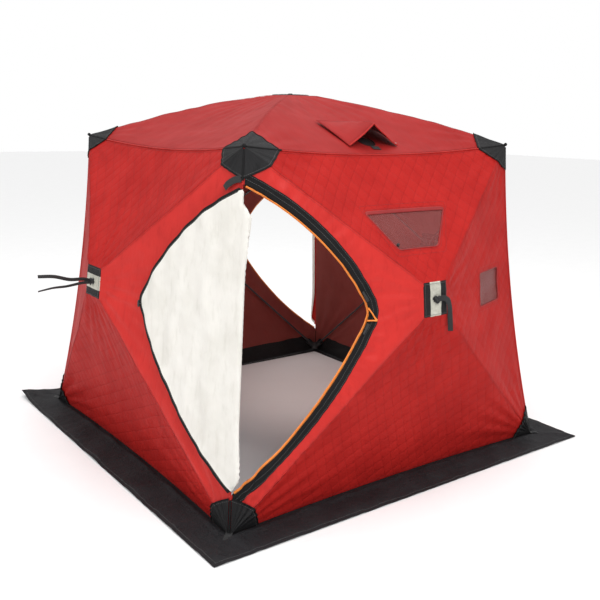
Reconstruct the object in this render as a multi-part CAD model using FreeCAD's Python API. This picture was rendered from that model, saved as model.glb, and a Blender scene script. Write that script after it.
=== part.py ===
"""Pop-up hub ice fishing shelter.

Frame: millimetres, +Z up, origin on the floor under the middle of the shelter, front wall facing -Y.
The two door corners are the front left (-X, -Y) and, by a half turn about Z, the back right (+X, +Y).
Each wall and the roof hang on one hub with four pivoting poles whose tips sit in the corner pockets.
"""
import FreeCAD
import Part
import math
import os

from FreeCAD import Vector as V

os.makedirs("parts", exist_ok=True)

# ---- overall shape --------------------------------------------------------------------------------
BASE_HALF = 900.0            # half the floor width at the walls
TOP_HALF = 734.0             # half the width at the top corners
CORNER_HEIGHT = 1445.0       # floor to top corner
HUB_HEIGHT = 815.0           # foot of a wall hub's travel on the wall plane, above the floor
WALL_BULGE = 232.0           # cloth at the wall hub, out of the wall's corner plane
ROOF_BULGE = 212.0           # cloth at the roof hub, above the top corners
SKIRT_HALF = 1057.0          # half the width over the snow skirt
FOOT = 3.0                   # height of the wall hem above the floor

# ---- cloth ----------------------------------------------------------------------------------------
CLOTH = 2.0                  # quilted wall cloth
SEAM_INSET = 3.0             # a wall's edge stays this far from the corner line
SEAM_BOW = 34.0              # inward bow of a plain corner seam, along the corner's diagonal
EAVE_BOW = 56.0              # bow of the eave seam, inward and down
HEM_BOW = 28.0               # inward bow of the floor hem
ROOF_POLE_BOW = 24.0         # upward bow of the roof poles and the cloth over them
SKIRT_CLOTH = 2.0
SKIRT_LAP = 42.0             # skirt cloth under the wall hem
TRIM = 1.2                   # tape, cap and patch cloth

# ---- hubs and poles -------------------------------------------------------------------------------
PATCH_W = 122.0              # hub patch across its bands
PATCH_L = 132.0              # hub patch along its bands
PATCH_CLOTH = 2.5
PATCH_GAP = 2.0              # play round the hub patch
PIVOT_DEPTH = 30.0           # hub pivots below the patch's outer face
HUB_R = 46.0
HUB_HALF = 12.0              # half the hub's thickness
HUB_BOLT_R = 7.0
HUB_KNOB_R = 11.0
HUB_KNOB_H = 9.0
PIVOT_R = 33.0               # pivot pins from the hub's middle
PIN_R = 2.5
PIN_HALF = 13.0
PIN_PLAY = 0.08              # radial play of a pole's eye on its pin
POLE_R = 5.5
FERRULE_R = 7.0
FERRULE_LEN = 90.0
TIP_SLEEVE_R = 6.6
TIP_SLEEVE_LEN = 46.0
SLOT_PLAY = 1.0              # each side of a ferrule in its hub slot

# ---- corner pockets -------------------------------------------------------------------------------
CUP_START_TOP = 70.0         # closed end of a top pocket, from the corner
CUP_START_BASE = 60.0
CUP_BORE_R = 16.2
CUP_WALL = 1.8
CUP_END = 3.0
TIP_TRAVEL = 34.0            # room behind the tip for the mid-travel slide
TIP_HOLD = 25.0              # tip length inside the pocket at rest
TIP_DEPTH = 22.0             # tips below the wall's corner plane
BOOT_HALF = 19.0             # moulded block that joins the pockets of one corner

# ---- door -----------------------------------------------------------------------------------------
DOOR_TOP = 1309.0            # door opening's ends on the corner seam, above the floor
DOOR_FOOT = 150.0
APEX_REACH = 0.708           # zip's turning point, as a share of the way from corner to hub
APEX_HEIGHT = 849.0
TOP_ARC_R = 1111.0            # curvature of the upper and lower zip runs
LOW_ARC_R = 1869.0
APEX_FILLET = 90.0
TAPE_W = 44.0                # black zip tape
COIL_R = 3.2                 # orange zip coil
FLAP_OFF = 16.0              # folded flap, off the wall's plane
FLAP_CLOTH = 2.4
FLAP_GAP = 14.0              # flap edge inside the zip line
SLIDER_L = 24.0
SLIDER_W = 13.0
SLIDER_H = 7.0
PULL_L = 38.0

# ---- windows --------------------------------------------------------------------------------------
TRAP_TOP_W = 450.0
TRAP_BASE_W = 226.0
TRAP_TOP_Z = 1186.0
TRAP_BASE_Z = 1040.0
TRAP_SHIFT = -8.0
SQUARE_X = (432.0, 637.0)
SQUARE_Z = (730.0, 880.0)
PANE = 1.0
PANE_LAP = 12.0

# ---- roof vent ------------------------------------------------------------------------------------
VENT_X = (-148.0, 127.0)      # feet of the hood's mouth
VENT_REAR_X = (-169.0, 148.0) # ends of its sewn rear edge
VENT_MOUTH = 97.0             # mouth's distance in from the eave corner line
VENT_BACK = 305.0             # rear edge, same measure
VENT_RISE = 102.0             # peak of the mouth above the roof cloth
VENT_CLOTH = 2.0
VENT_HOLE_R = 42.0
VENT_CLEAR = 6.0

# ---- skirt fittings and straps --------------------------------------------------------------------
GROMMET_AT = 958.0
GROMMET_BORE_R = 6.0
GROMMET_R = 12.0
GROMMET_H = 5.0
STRAP_W = 27.0
STRAP_T = 1.6
STRAP_FROM = 893.0
STRAP_TO = 1004.0
PULL_W = 24.0
PULL_T = 1.8
PULL_OUT = 245.0             # side wall pull strap, straight out from its hub
PULL_DROP = 150.0            # front wall pull strap, hanging
CAP_REACH = 165.0            # black corner reinforcement, along the eave
CAP_DROP = 118.0             # and down the corner
FOOT_CAP_REACH = 168.0
FOOT_CAP_RISE = 138.0

Z = V(0, 0, 1)
CORNERS = ((-1, -1), (1, -1), (1, 1), (-1, 1))


def unit(v):
    return V(v).normalize()


def top_corner(sx, sy):
    return V(sx * TOP_HALF, sy * TOP_HALF, CORNER_HEIGHT)


def base_corner(sx, sy):
    return V(sx * BASE_HALF, sy * BASE_HALF, FOOT)


def half_turn(shape):
    """The same shape on the opposite side of the shelter."""
    copy = shape.copy()
    copy.rotate(V(0, 0, 0), Z, 180)
    return copy


def group(shapes):
    return Part.makeCompound([s for shape in shapes for s in shape.Solids])


def save(name, shape):
    """Write one named piece, refusing anything that is not a set of sound solids."""
    solids = shape.Solids
    if not solids or not all(s.isValid() and s.Volume > 0 for s in solids):
        raise ValueError(name + " is not sound")
    out = solids[0] if len(solids) == 1 else Part.makeCompound(solids)
    out.exportStep("parts/" + name + ".step")
    print(name, len(solids), "solids", round(sum(s.Volume for s in solids) / 1000, 1), "cm3")


class Face:
    """One hub face of the shelter: a wall or the roof.

    corners run round the face as seen from outside, starting at its lower left. across, up and out
    are its own axes, and foot is where the hub's line of travel crosses the plane of the corners.
    """

    def __init__(self, name, corners, across, foot, bulge, bows, pole_bow=0.0, turned=False):
        self.name = name
        self.corners = corners
        self.across = across
        self.out = unit((corners[1] - corners[0]).cross(corners[3] - corners[0]))
        self.up = self.out.cross(across)
        self.foot = foot
        self.bulge = bulge
        self.bows = bows
        self.pole_bow = pole_bow
        self.patch_x = (PATCH_L if turned else PATCH_W) / 2
        self.patch_y = (PATCH_W if turned else PATCH_L) / 2
        self.turned = turned

    def at(self, x, y, z=0.0):
        """A point given along the face's own axes, from the hub's foot."""
        return self.foot + self.across * x + self.up * y + self.out * z

    def place(self, shape):
        """Move a shape made about the origin, with its z axis outwards, onto the face."""
        a, b, c, o = self.across, self.up, self.out, self.foot
        matrix = FreeCAD.Matrix(a.x, b.x, c.x, o.x, a.y, b.y, c.y, o.y, a.z, b.z, c.z, o.z, 0, 0, 0, 1)
        copy = shape.copy()
        copy.transformShape(matrix, True)
        return copy

    def direction(self, i):
        """In-plane direction from the hub towards corner i."""
        d = self.corners[i] - self.foot
        return unit(d - self.out * d.dot(self.out))

    def local_direction(self, i):
        d = self.direction(i)
        return V(d.dot(self.across), d.dot(self.up), 0)

    def outline_corner(self, i):
        """Corner of the cloth, a little inside the corner of the shelter."""
        p = self.corners[i]
        a = unit(self.corners[(i + 1) % 4] - p)
        b = unit(self.corners[(i + 3) % 4] - p)
        return p + (a + b) * SEAM_INSET

    def patch_corner(self, i):
        sx, sy = CORNERS[i]
        return self.at(sx * (self.patch_x + PATCH_GAP), sy * (self.patch_y + PATCH_GAP), self.bulge)

    def edge(self, i, share):
        """Point on the seam between corners i and i + 1, bowed as the cloth pulls it."""
        a = self.outline_corner(i)
        b = self.outline_corner((i + 1) % 4)
        return a + (b - a) * share + self.bows[i] * (4 * share * (1 - share))

    def ridge(self, i, share):
        """Point on the cloth over pole i, from the corner to the hub patch."""
        a = self.outline_corner(i)
        b = self.patch_corner(i)
        return a + (b - a) * share + self.out * (self.pole_bow * 4 * share * (1 - share))

    def panel_surface(self, i, steps=8):
        """Cloth between poles i and i + 1, from the seam to the hub patch."""
        j = (i + 1) % 4
        if self.pole_bow == 0:
            seam = Part.LineSegment(self.edge(i, 0), self.edge(i, 1)).toShape()
            if self.bows[i].Length > 0:
                seam = Part.Arc(self.edge(i, 0), self.edge(i, 0.5), self.edge(i, 1)).toShape()
            rim = Part.LineSegment(self.patch_corner(i), self.patch_corner(j)).toShape()
            return Part.makeRuledSurface(seam, rim)
        grid = []
        for m in range(steps + 1):
            v = m / steps
            row = []
            for k in range(steps + 1):
                u = k / steps
                seam, rim = self.edge(i, u), self.patch_corner(i) * (1 - u) + self.patch_corner(j) * u
                flat = self.outline_corner(i) * ((1 - u) * (1 - v)) + self.outline_corner(j) * (u * (1 - v))
                flat = flat + self.patch_corner(i) * ((1 - u) * v) + self.patch_corner(j) * (u * v)
                sides = self.ridge(i, v) * (1 - u) + self.ridge(j, v) * u
                row.append(seam * (1 - v) + rim * v + sides - flat)
            grid.append(row)
        surface = Part.BSplineSurface()
        surface.interpolate(grid)
        return surface.toShape()

    def panel(self, i, low=-CLOTH, high=0.0):
        """Solid layer of panel i between two heights over its outer surface."""
        skin = self.panel_surface(i)
        skin.translate(self.out * low)
        solid = skin.extrude(self.out * (high - low)).Solids[0]
        return solid if solid.Volume > 0 else Part.Solid(solid.reversed())

    def prism(self, points, low=-260.0, high=330.0):
        """Cutter through the face with a straight-sided outline given in world points."""
        flat = []
        for p in points:
            d = p - self.foot
            flat.append(self.at(d.dot(self.across), d.dot(self.up), low))
        return Part.Face(Part.makePolygon(flat + [flat[0]])).extrude(self.out * (high - low))

    # -- hub and poles ------------------------------------------------------------------------------
    def pivot_z(self):
        return self.bulge - PIVOT_DEPTH

    def tip(self, i):
        """In-plane distance from the hub's foot to pole i's tip."""
        start = CUP_START_TOP if i in (2, 3) or self.pole_bow else CUP_START_BASE
        d = self.corners[i] - self.foot
        reach = d.dot(self.direction(i))
        return reach - start - CUP_END - TIP_TRAVEL, reach - start

    def pole_angle(self, i):
        return math.atan2(self.pivot_z() + TIP_DEPTH, self.tip(i)[0] - PIVOT_R)

    def pole_path(self, i):
        d = self.local_direction(i)
        z0 = self.pivot_z()
        return d * PIVOT_R + V(0, 0, z0), d * self.tip(i)[0] + V(0, 0, -TIP_DEPTH)

    def pole(self, i):
        """Fibreglass rod with a hub ferrule, its eye, and a tip sleeve."""
        a, b = self.pole_path(i)
        d = self.local_direction(i)
        side = Z.cross(d)
        along = unit(b - a)
        lift = unit(side.cross(along)) * self.pole_bow
        lift = lift if lift.z > 0 else lift * -1
        if self.pole_bow:
            path = Part.Wire([Part.Arc(a, (a + b) * 0.5 + lift, b).toShape()])
            curve = path.Edges[0]
            start = unit(curve.tangentAt(curve.FirstParameter))
            end = unit(curve.tangentAt(curve.LastParameter))
            rod = path.makePipeShell([Part.Wire([Part.makeCircle(POLE_R, a, start)])], True, False)
        else:
            start = end = along
            bare = (b - a).Length - FERRULE_LEN - TIP_SLEEVE_LEN
            rod = Part.makeCylinder(POLE_R, bare, a + along * FERRULE_LEN, along)
        ferrule = Part.makeCylinder(FERRULE_R, FERRULE_LEN, a, start)
        eye = Part.makeCylinder(FERRULE_R + 1, 2 * FERRULE_R, a - side * FERRULE_R, side)
        sleeve = Part.makeCylinder(TIP_SLEEVE_R, TIP_SLEEVE_LEN, b - end * TIP_SLEEVE_LEN, end)
        hole = Part.makeCylinder(PIN_R + PIN_PLAY, 4 * FERRULE_R, a - side * 2 * FERRULE_R, side)
        if self.pole_bow:
            rod = rod.cut(eye)
        head = ferrule.fuse(eye).cut(hole)
        return self.place(head.fuse([rod, sleeve]))

    def pin(self, i):
        a = self.pole_path(i)[0]
        side = Z.cross(self.local_direction(i))
        return self.place(Part.makeCylinder(PIN_R, 2 * PIN_HALF, a - side * PIN_HALF, side))

    def hub(self):
        """Slotted hub disc with the bolt and knob that pinch the patch."""
        z0 = self.pivot_z()
        disc = Part.makeCylinder(HUB_R, 2 * HUB_HALF, V(0, 0, z0 - HUB_HALF))
        slots = []
        for i in range(4):
            d = self.local_direction(i)
            side = Z.cross(d)
            half = FERRULE_R + SLOT_PLAY
            box = Part.makeBox(HUB_R + 20, 2 * half, 2 * HUB_HALF + 2, V(0, 0, 0))
            box.translate(V(PIVOT_R - FERRULE_R - 4, -half, z0 - HUB_HALF - 1))
            box.rotate(V(0, 0, 0), Z, math.degrees(math.atan2(d.y, d.x)))
            slots.append(box)
            a = self.pole_path(i)[0]
            slots.append(Part.makeCylinder(PIN_R, 2 * PIN_HALF, a - side * PIN_HALF, side))
        disc = disc.cut(slots)
        neck = Part.makeCylinder(HUB_BOLT_R, self.bulge - PATCH_CLOTH - z0, V(0, 0, z0))
        return self.place(disc.fuse(neck).removeSplitter())

    def patch(self):
        """Square patch over the hub, with the knob of its bolt on top."""
        z = self.bulge
        plate = Part.makeBox(2 * self.patch_x, 2 * self.patch_y, PATCH_CLOTH,
                             V(-self.patch_x, -self.patch_y, z - PATCH_CLOTH))
        knob = Part.makeCylinder(HUB_KNOB_R, HUB_KNOB_H, V(0, 0, z))
        knob = knob.makeFillet(2.5, [knob.Edges[0]]) if knob.Edges else knob
        return self.place(plate.fuse(knob))

    def pull_out(self):
        """Two webbing tails standing straight out from the knob."""
        z = self.bulge + HUB_KNOB_H
        tails = []
        for lean in (0.0, 7.0):
            tail = Part.makeBox(PULL_T, PULL_W / 2, PULL_OUT, V(-PULL_T / 2 + (PULL_T + 0.4) * (lean > 0), -6, z))
            tail.rotate(V(0, 0, z), V(1, 0, 0), lean)
            tails.append(tail)
        body = tails[0].fuse(tails[1]) if tails[0].common(tails[1]).Volume > 0 else group(tails)
        return self.place(body)

    def pull_hang(self):
        """One webbing tail that leaves the knob sideways and hangs."""
        z = self.bulge + HUB_KNOB_H - 5
        run = HUB_KNOB_R + 0.5
        out = Part.makeBox(52, PULL_W, PULL_T, V(run, -PULL_W / 2, z))
        drop = Part.makeBox(PULL_W, PULL_DROP, PULL_T, V(0, -PULL_DROP, 0))
        drop.rotate(V(0, 0, 0), Z, 17)
        drop.translate(V(run + 34, -PULL_W / 2 + 8, z))
        return self.place(out.fuse(drop).removeSplitter())

    def boot_cups(self, i):
        """Outer and inner cylinders of the pocket that takes pole i's tip."""
        d = self.local_direction(i)
        mouth = self.tip(i)[0] - TIP_HOLD
        closed = self.tip(i)[1]
        outer = Part.makeCylinder(CUP_BORE_R + CUP_WALL, closed - mouth, d * mouth + V(0, 0, -TIP_DEPTH), d)
        inner = Part.makeCylinder(CUP_BORE_R, closed - mouth, d * (mouth - CUP_END) + V(0, 0, -TIP_DEPTH), d)
        end = self.at(d.x * closed, d.y * closed, -TIP_DEPTH)
        return self.place(outer), self.place(inner), end


def make_faces():
    slope = (BASE_HALF - TOP_HALF) / (CORNER_HEIGHT - FOOT)
    foot_r = BASE_HALF - slope * (HUB_HEIGHT - FOOT)
    faces = {}
    for name, (ax, ay), turned in (("front", (0, -1), False), ("right", (1, 0), True),
                                   ("back", (0, 1), False), ("left", (-1, 0), True)):
        across = V(-ay, ax, 0)
        start = CORNERS.index((int(ax - across.x), int(ay - across.y)))
        a, b = CORNERS[start], CORNERS[(start + 1) % 4]
        corners = [base_corner(*a), base_corner(*b), top_corner(*b), top_corner(*a)]
        inward = V(-ax, -ay, 0)
        hem = inward * HEM_BOW
        eave = (inward - Z) * (EAVE_BOW / math.sqrt(2))
        bows = [hem, V(0, 0, 0), eave, V(0, 0, 0)]
        for edge, corner in ((1, b), (3, a)):
            if corner[0] != corner[1]:
                bows[edge] = V(-corner[0], -corner[1], 0) * (SEAM_BOW / math.sqrt(2))
        foot = V(ax * foot_r, ay * foot_r, HUB_HEIGHT)
        faces[name] = Face(name, corners, across, foot, WALL_BULGE, bows, turned=turned)
    roof = [top_corner(*c) for c in CORNERS]
    bows = [(V(-(CORNERS[i][0] + CORNERS[(i + 1) % 4][0]) / 2, -(CORNERS[i][1] + CORNERS[(i + 1) % 4][1]) / 2, 0) - Z)
            * (EAVE_BOW / math.sqrt(2)) for i in range(4)]
    faces["roof"] = Face("roof", roof, V(1, 0, 0), V(0, 0, CORNER_HEIGHT), ROOF_BULGE, bows, ROOF_POLE_BOW)
    return faces


# ---- door outline ---------------------------------------------------------------------------------
class Door:
    """D-shaped door in the corner panel of the front wall, drawn on that panel's plane."""

    def __init__(self, face):
        self.face = face
        top, base = face.corners[3], face.corners[0]
        self.up = unit(top - base)
        hub = face.at(-face.patch_x, 0, face.bulge)
        across = hub - base
        self.normal = unit(across.cross(self.up))
        self.across = self.up.cross(self.normal)
        self.origin = base
        self.scale = (top - base).Length / (CORNER_HEIGHT - FOOT)
        self.reach = across.dot(self.across)
        if self.normal.dot(face.out) < 0:
            self.normal = self.normal * -1

    def at(self, x, y, z=0.0):
        return self.origin + self.across * x + self.up * y + self.normal * z

    def local(self, height):
        return (height - FOOT) * self.scale

    def runs(self, grow=0.0):
        """Upper arc, turning point and lower arc of the outline, all moved outwards by grow."""
        top = V(0, self.local(DOOR_TOP), 0)
        foot = V(0, self.local(DOOR_FOOT), 0)
        apex = V(self.reach * APEX_REACH, self.local(APEX_HEIGHT), 0)
        arcs = []
        for a, b, radius in ((top, apex, TOP_ARC_R), (apex, foot, LOW_ARC_R)):
            chord = b - a
            side = V(-chord.y, chord.x, 0).normalize()
            centre = (a + b) * 0.5 - side * math.sqrt(radius ** 2 - (chord.Length / 2) ** 2)
            if side.x < 0:
                centre = (a + b) * 0.5 + side * math.sqrt(radius ** 2 - (chord.Length / 2) ** 2)
            arcs.append((centre, radius + grow))
        return arcs

    def outline(self, grow=0.0, edge=-60.0):
        """Closed wire: the two long arcs joined by a fillet, run past the corner line by edge."""
        (c1, r1), (c2, r2) = self.runs(grow)
        fillet = APEX_FILLET + grow
        d1, d2 = r1 - fillet, r2 - fillet
        base = c2 - c1
        span = base.Length
        along = (d1 ** 2 - d2 ** 2 + span ** 2) / (2 * span)
        height = math.sqrt(d1 ** 2 - along ** 2)
        e = unit(base)
        options = [c1 + e * along + V(-e.y, e.x, 0) * height * s for s in (1, -1)]
        middle = max(options, key=lambda p: p.x)
        t1 = middle + unit(middle - c1) * fillet
        t2 = middle + unit(middle - c2) * fillet
        nose = middle + unit(unit(middle - c1) + unit(middle - c2)) * fillet
        y1 = c1.y + math.sqrt(r1 ** 2 - (edge - c1.x) ** 2)
        y2 = c2.y - math.sqrt(r2 ** 2 - (edge - c2.x) ** 2)
        if grow == 0:
            self.rest_upper, self.rest_lower, self.c1, self.c2 = t1, t2, c1, c2
        start, stop = V(edge, y1, 0), V(edge, y2, 0)
        m1 = c1 + unit(unit(start - c1) + unit(t1 - c1)) * r1
        m2 = c2 + unit(unit(stop - c2) + unit(t2 - c2)) * r2
        return [("arc", start, m1, t1), ("arc", t1, nose, t2), ("arc", t2, m2, stop), ("line", stop, start)]

    def wire(self, grow=0.0, z=0.0, edge=-60.0):
        edges = []
        for kind, *pts in self.outline(grow, edge):
            pts = [self.at(p.x, p.y, z) for p in pts]
            edges.append(Part.Arc(*pts).toShape() if kind == "arc" else Part.LineSegment(*pts).toShape())
        return Part.Wire(edges)

    def block(self, grow, low, high, edge=-60.0):
        return Part.Face(self.wire(grow, low, edge)).extrude(self.normal * (high - low))

    def coil(self, which):
        """Run of zip coil along the upper or lower half of the opening."""
        parts = self.outline(-COIL_R - 0.6, 48.0 if which == "upper" else 16.0)
        kind, *pts = parts[0] if which == "upper" else parts[2]
        ends = [self.at(p.x, p.y, TRIM) for p in pts]
        path = Part.Wire([Part.Arc(*ends).toShape()])
        tangent = path.Edges[0].tangentAt(path.Edges[0].FirstParameter)
        profile = Part.Wire([Part.makeCircle(COIL_R, ends[0], tangent)])
        return path.makePipeShell([profile], True, False)


faces = make_faces()
front, left, roof = faces["front"], faces["left"], faces["roof"]
door = Door(front)
door.outline()

# ---- wall cloth -----------------------------------------------------------------------------------
def trapezoid(margin=0.0):
    half_top, half_base = TRAP_TOP_W / 2 + margin, TRAP_BASE_W / 2 + margin
    rows = ((-half_top, TRAP_TOP_Z + margin), (half_top, TRAP_TOP_Z + margin),
            (half_base, TRAP_BASE_Z - margin), (-half_base, TRAP_BASE_Z - margin))
    return [V(x + TRAP_SHIFT, -TOP_HALF, z) for x, z in rows]


def square(margin=0.0):
    x0, x1 = SQUARE_X[0] - margin, SQUARE_X[1] + margin
    z0, z1 = SQUARE_Z[0] - margin, SQUARE_Z[1] + margin
    return [V(x0, -TOP_HALF, z0), V(x1, -TOP_HALF, z0), V(x1, -TOP_HALF, z1), V(x0, -TOP_HALF, z1)]


def window_prism(points):
    """Cutter along Y, because the window outlines are given as seen from the front."""
    ring = [V(p.x, -TOP_HALF + 60, p.z) for p in points]
    return Part.Face(Part.makePolygon(ring + [ring[0]])).extrude(V(0, -420, 0))


hem, right_side, top_panel, door_panel = (front.panel(i) for i in range(4))
top_panel = top_panel.cut(window_prism(trapezoid()))
right_side = right_side.cut(window_prism(square()))
door_panel = door_panel.cut(door.block(0.0, -40.0, 40.0))
front_wall = group([hem, right_side, top_panel, door_panel])
left_wall = group([left.panel(i) for i in range(4)])

save("front_wall", front_wall)
save("back_wall", half_turn(front_wall))
save("left_wall", left_wall)
save("right_wall", half_turn(left_wall))

# ---- windows: clear panes held behind the cloth ---------------------------------------------------
pane_a = front.panel(2, -CLOTH - PANE, -CLOTH).common(window_prism(trapezoid(PANE_LAP)))
pane_b = front.panel(1, -CLOTH - PANE, -CLOTH).common(window_prism(square(PANE_LAP)))
panes = group([pane_a, pane_b])
save("window_panes", group([panes, half_turn(panes)]))

# ---- roof cloth and vent --------------------------------------------------------------------------
vent_mid = (VENT_X[0] + VENT_X[1]) / 2
vent_y = -TOP_HALF + (VENT_MOUTH + VENT_BACK) / 2 - 45
vent_hole = Part.makeCylinder(VENT_HOLE_R, 400, V(vent_mid, vent_y, CORNER_HEIGHT - 100))
front_roof = roof.panel(0).cut(vent_hole)
save("roof", group([front_roof] + [roof.panel(i) for i in (1, 2, 3)]))

mesh_disc = Part.makeCylinder(VENT_HOLE_R + 10, 400, V(vent_mid, vent_y, CORNER_HEIGHT - 100))
save("vent_mesh", roof.panel(0, -CLOTH - 0.8, -CLOTH).common(mesh_disc))


def roof_point(x, y, lift=0.0):
    """Point over the front roof panel's outer surface."""
    ray = Part.makeLine(V(x, y, CORNER_HEIGHT - 120), V(x, y, CORNER_HEIGHT + 300))
    hit = roof.panel_surface(0).common(ray)
    dist = roof.panel_surface(0).distToShape(ray)
    point = hit.Vertexes[0].Point if hit.Vertexes else dist[1][0][0]
    return point + Z * lift


def hood_half(side):
    """Half of the hood, from its sewn side to the raised ridge, as a curved sheet over the roof."""
    grid = []
    for m in range(6):
        t = m / 5
        row = []
        for k in range(6):
            share = k / 5
            outer = VENT_X[side] * (1 - t) + VENT_REAR_X[side] * t
            x = outer + (vent_mid - 12 * (1 - t) - outer) * share
            y = -TOP_HALF + VENT_MOUTH - 8 * share * (1 - t) + (VENT_BACK - VENT_MOUTH) * t
            row.append(roof_point(x, y, VENT_CLEAR + VENT_RISE * share * (1 - t)))
        grid.append(row)
    surface = Part.BSplineSurface()
    surface.interpolate(grid)
    solid = surface.toShape().extrude(Z * -VENT_CLOTH).Solids[0]
    return solid if solid.Volume > 0 else Part.Solid(solid.reversed())


hood = group([hood_half(0), hood_half(1)])
save("vent_hood", hood)

# ---- black corner reinforcement -------------------------------------------------------------------
def leaf_cutter(face, corner, a, b, reach_a, reach_b):
    """Prism through a face that cuts a corner's four-sided leaf."""
    p = face.corners[corner]
    da, db = unit(a - p), unit(b - p)
    far = unit(da + db) * 40
    pts = [p - far, p + da * reach_a - db * 40, p + da * reach_a, p + db * reach_b, p + db * reach_b - da * 40]
    return face.prism(pts, -60, 200)


def leaf(face, corner, a, b, reach_a, reach_b):
    """Cap cloth over the two panels that meet at a corner."""
    cutter = leaf_cutter(face, corner, a, b, reach_a, reach_b)
    i, j = (corner + 3) % 4, corner
    return [face.panel(k, 0.0, TRIM).common(cutter) for k in (i, j)]


def caps(corner_ids, reach, drop, is_top):
    pieces = []
    for name in ("front", "left"):
        face = faces[name]
        for c in corner_ids:
            other = face.corners[{2: 3, 3: 2, 0: 1, 1: 0}[c]]
            along = face.corners[{2: 1, 3: 0, 0: 3, 1: 2}[c]]
            pieces += leaf(face, c, other, along, reach, drop)
    if is_top:
        for c in (0, 1):
            pieces += leaf(roof, c, roof.corners[(c + 1) % 4], roof.corners[(c + 3) % 4], reach, reach)
    return pieces


top_caps = caps((2, 3), CAP_REACH, CAP_DROP, True)
knobs = []
for sx, sy in ((-1, -1), (1, -1)):
    knobs.append(Part.makeSphere(7.0, top_corner(sx, sy) + V(sx, sy, 2) * 2.5))
save("top_corner_caps", group(top_caps + knobs + [half_turn(s) for s in top_caps + knobs]))
foot_caps = caps((0, 1), FOOT_CAP_REACH, FOOT_CAP_RISE, False)
save("base_corner_caps", group(foot_caps + [half_turn(s) for s in foot_caps]))

# ---- snow skirt, anchor straps and grommets -------------------------------------------------------
skirt_parts = []
inner = BASE_HALF - SKIRT_LAP
for sx, sy in CORNERS:
    nx, ny = -sy, sx
    pts = [V(sx * inner, sy * inner, 0), V(sx * SKIRT_HALF, sy * SKIRT_HALF, 0),
           V(nx * SKIRT_HALF, ny * SKIRT_HALF, 0), V(nx * inner, ny * inner, 0)]
    skirt_parts.append(Part.Face(Part.makePolygon(pts + [pts[0]])).extrude(Z * SKIRT_CLOTH))
holes = [Part.makeCylinder(GROMMET_R - 3, 20, V(sx * GROMMET_AT, sy * GROMMET_AT, -5)) for sx, sy in CORNERS]
straps, grommets = [], []
for (sx, sy), hole in zip(CORNERS, holes):
    strap = Part.makeBox((STRAP_TO - STRAP_FROM) * math.sqrt(2), STRAP_W, STRAP_T,
                         V(STRAP_FROM * math.sqrt(2), -STRAP_W / 2, SKIRT_CLOTH))
    strap.rotate(V(0, 0, 0), Z, math.degrees(math.atan2(sy, sx)))
    straps.append(strap.cut(hole))
    at = V(sx * GROMMET_AT, sy * GROMMET_AT, 0)
    collar = Part.makeCylinder(GROMMET_R - 3, SKIRT_CLOTH + STRAP_T + 0.2, at)
    flange = Part.makeCylinder(GROMMET_R, GROMMET_H - SKIRT_CLOTH - STRAP_T, at + Z * (SKIRT_CLOTH + STRAP_T))
    bore = Part.makeCylinder(GROMMET_BORE_R, 20, at - Z * 5)
    grommets.append(collar.fuse(flange).removeSplitter().cut(bore))
save("snow_skirt", group([s.cut(holes) for s in skirt_parts]))
save("anchor_straps", group(straps))
save("anchor_grommets", group(grommets))

# ---- pockets for the pole tips --------------------------------------------------------------------
def boot(target):
    """Moulded corner piece: one pocket for each pole that ends at this corner."""
    cups = []
    for face in faces.values():
        for i in range(4):
            if (face.corners[i] - target).Length < 1:
                cups.append(face.boot_cups(i))
    middle = sum((c[2] for c in cups), V(0, 0, 0)) * (1 / len(cups))
    solid = Part.makeBox(2 * BOOT_HALF, 2 * BOOT_HALF, 2 * BOOT_HALF, V(-BOOT_HALF, -BOOT_HALF, -BOOT_HALF))
    solid.rotate(V(0, 0, 0), Z, 45)
    solid.translate(middle)
    for outer, _, _ in cups:
        solid = solid.fuse(outer)
    for _, inner, _ in cups:
        solid = solid.cut(inner)
    return solid


boots = []
for pattern in (boot(top_corner(-1, -1)), boot(base_corner(-1, -1))):
    for quarter in range(4):
        copy = pattern.copy()
        copy.rotate(V(0, 0, 0), Z, 90 * quarter)
        boots.append(copy)
save("corner_pockets", group(boots))

# ---- hubs, pins, patches, poles, pull straps ------------------------------------------------------
POLE_NAMES = ("lower_left", "lower_right", "upper_right", "upper_left")
ROOF_NAMES = ("front_left", "front_right", "back_right", "back_left")
for name, face in faces.items():
    save(name + "_hub", face.hub())
    save(name + "_hub_patch", face.patch())
    save(name + "_hub_pins", group([face.pin(i) for i in range(4)]))
    for i in range(4):
        label = (ROOF_NAMES if name == "roof" else POLE_NAMES)[i]
        save(name + "_pole_" + label, face.pole(i))
save("front_pull_strap", front.pull_hang())
save("back_pull_strap", half_turn(front.pull_hang()))
save("left_pull_strap", left.pull_out())
save("right_pull_strap", half_turn(left.pull_out()))

# ---- doors: zip tape, coil, sliders, flaps --------------------------------------------------------
ring = door.block(TAPE_W, -40.0, 40.0, 14.0).cut(door.block(0.0, -50.0, 50.0, -20.0))
under_caps = [leaf_cutter(front, 3, front.corners[2], front.corners[0], CAP_REACH + 2, CAP_DROP + 2),
              leaf_cutter(front, 0, front.corners[1], front.corners[3], FOOT_CAP_REACH + 2, FOOT_CAP_RISE + 2)]
tape = front.panel(3, 0.03, TRIM).common(ring).cut(under_caps)
zips = [tape, door.coil("upper"), door.coil("lower")]
save("zip_tapes", group(zips + [half_turn(s) for s in zips]))


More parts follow.
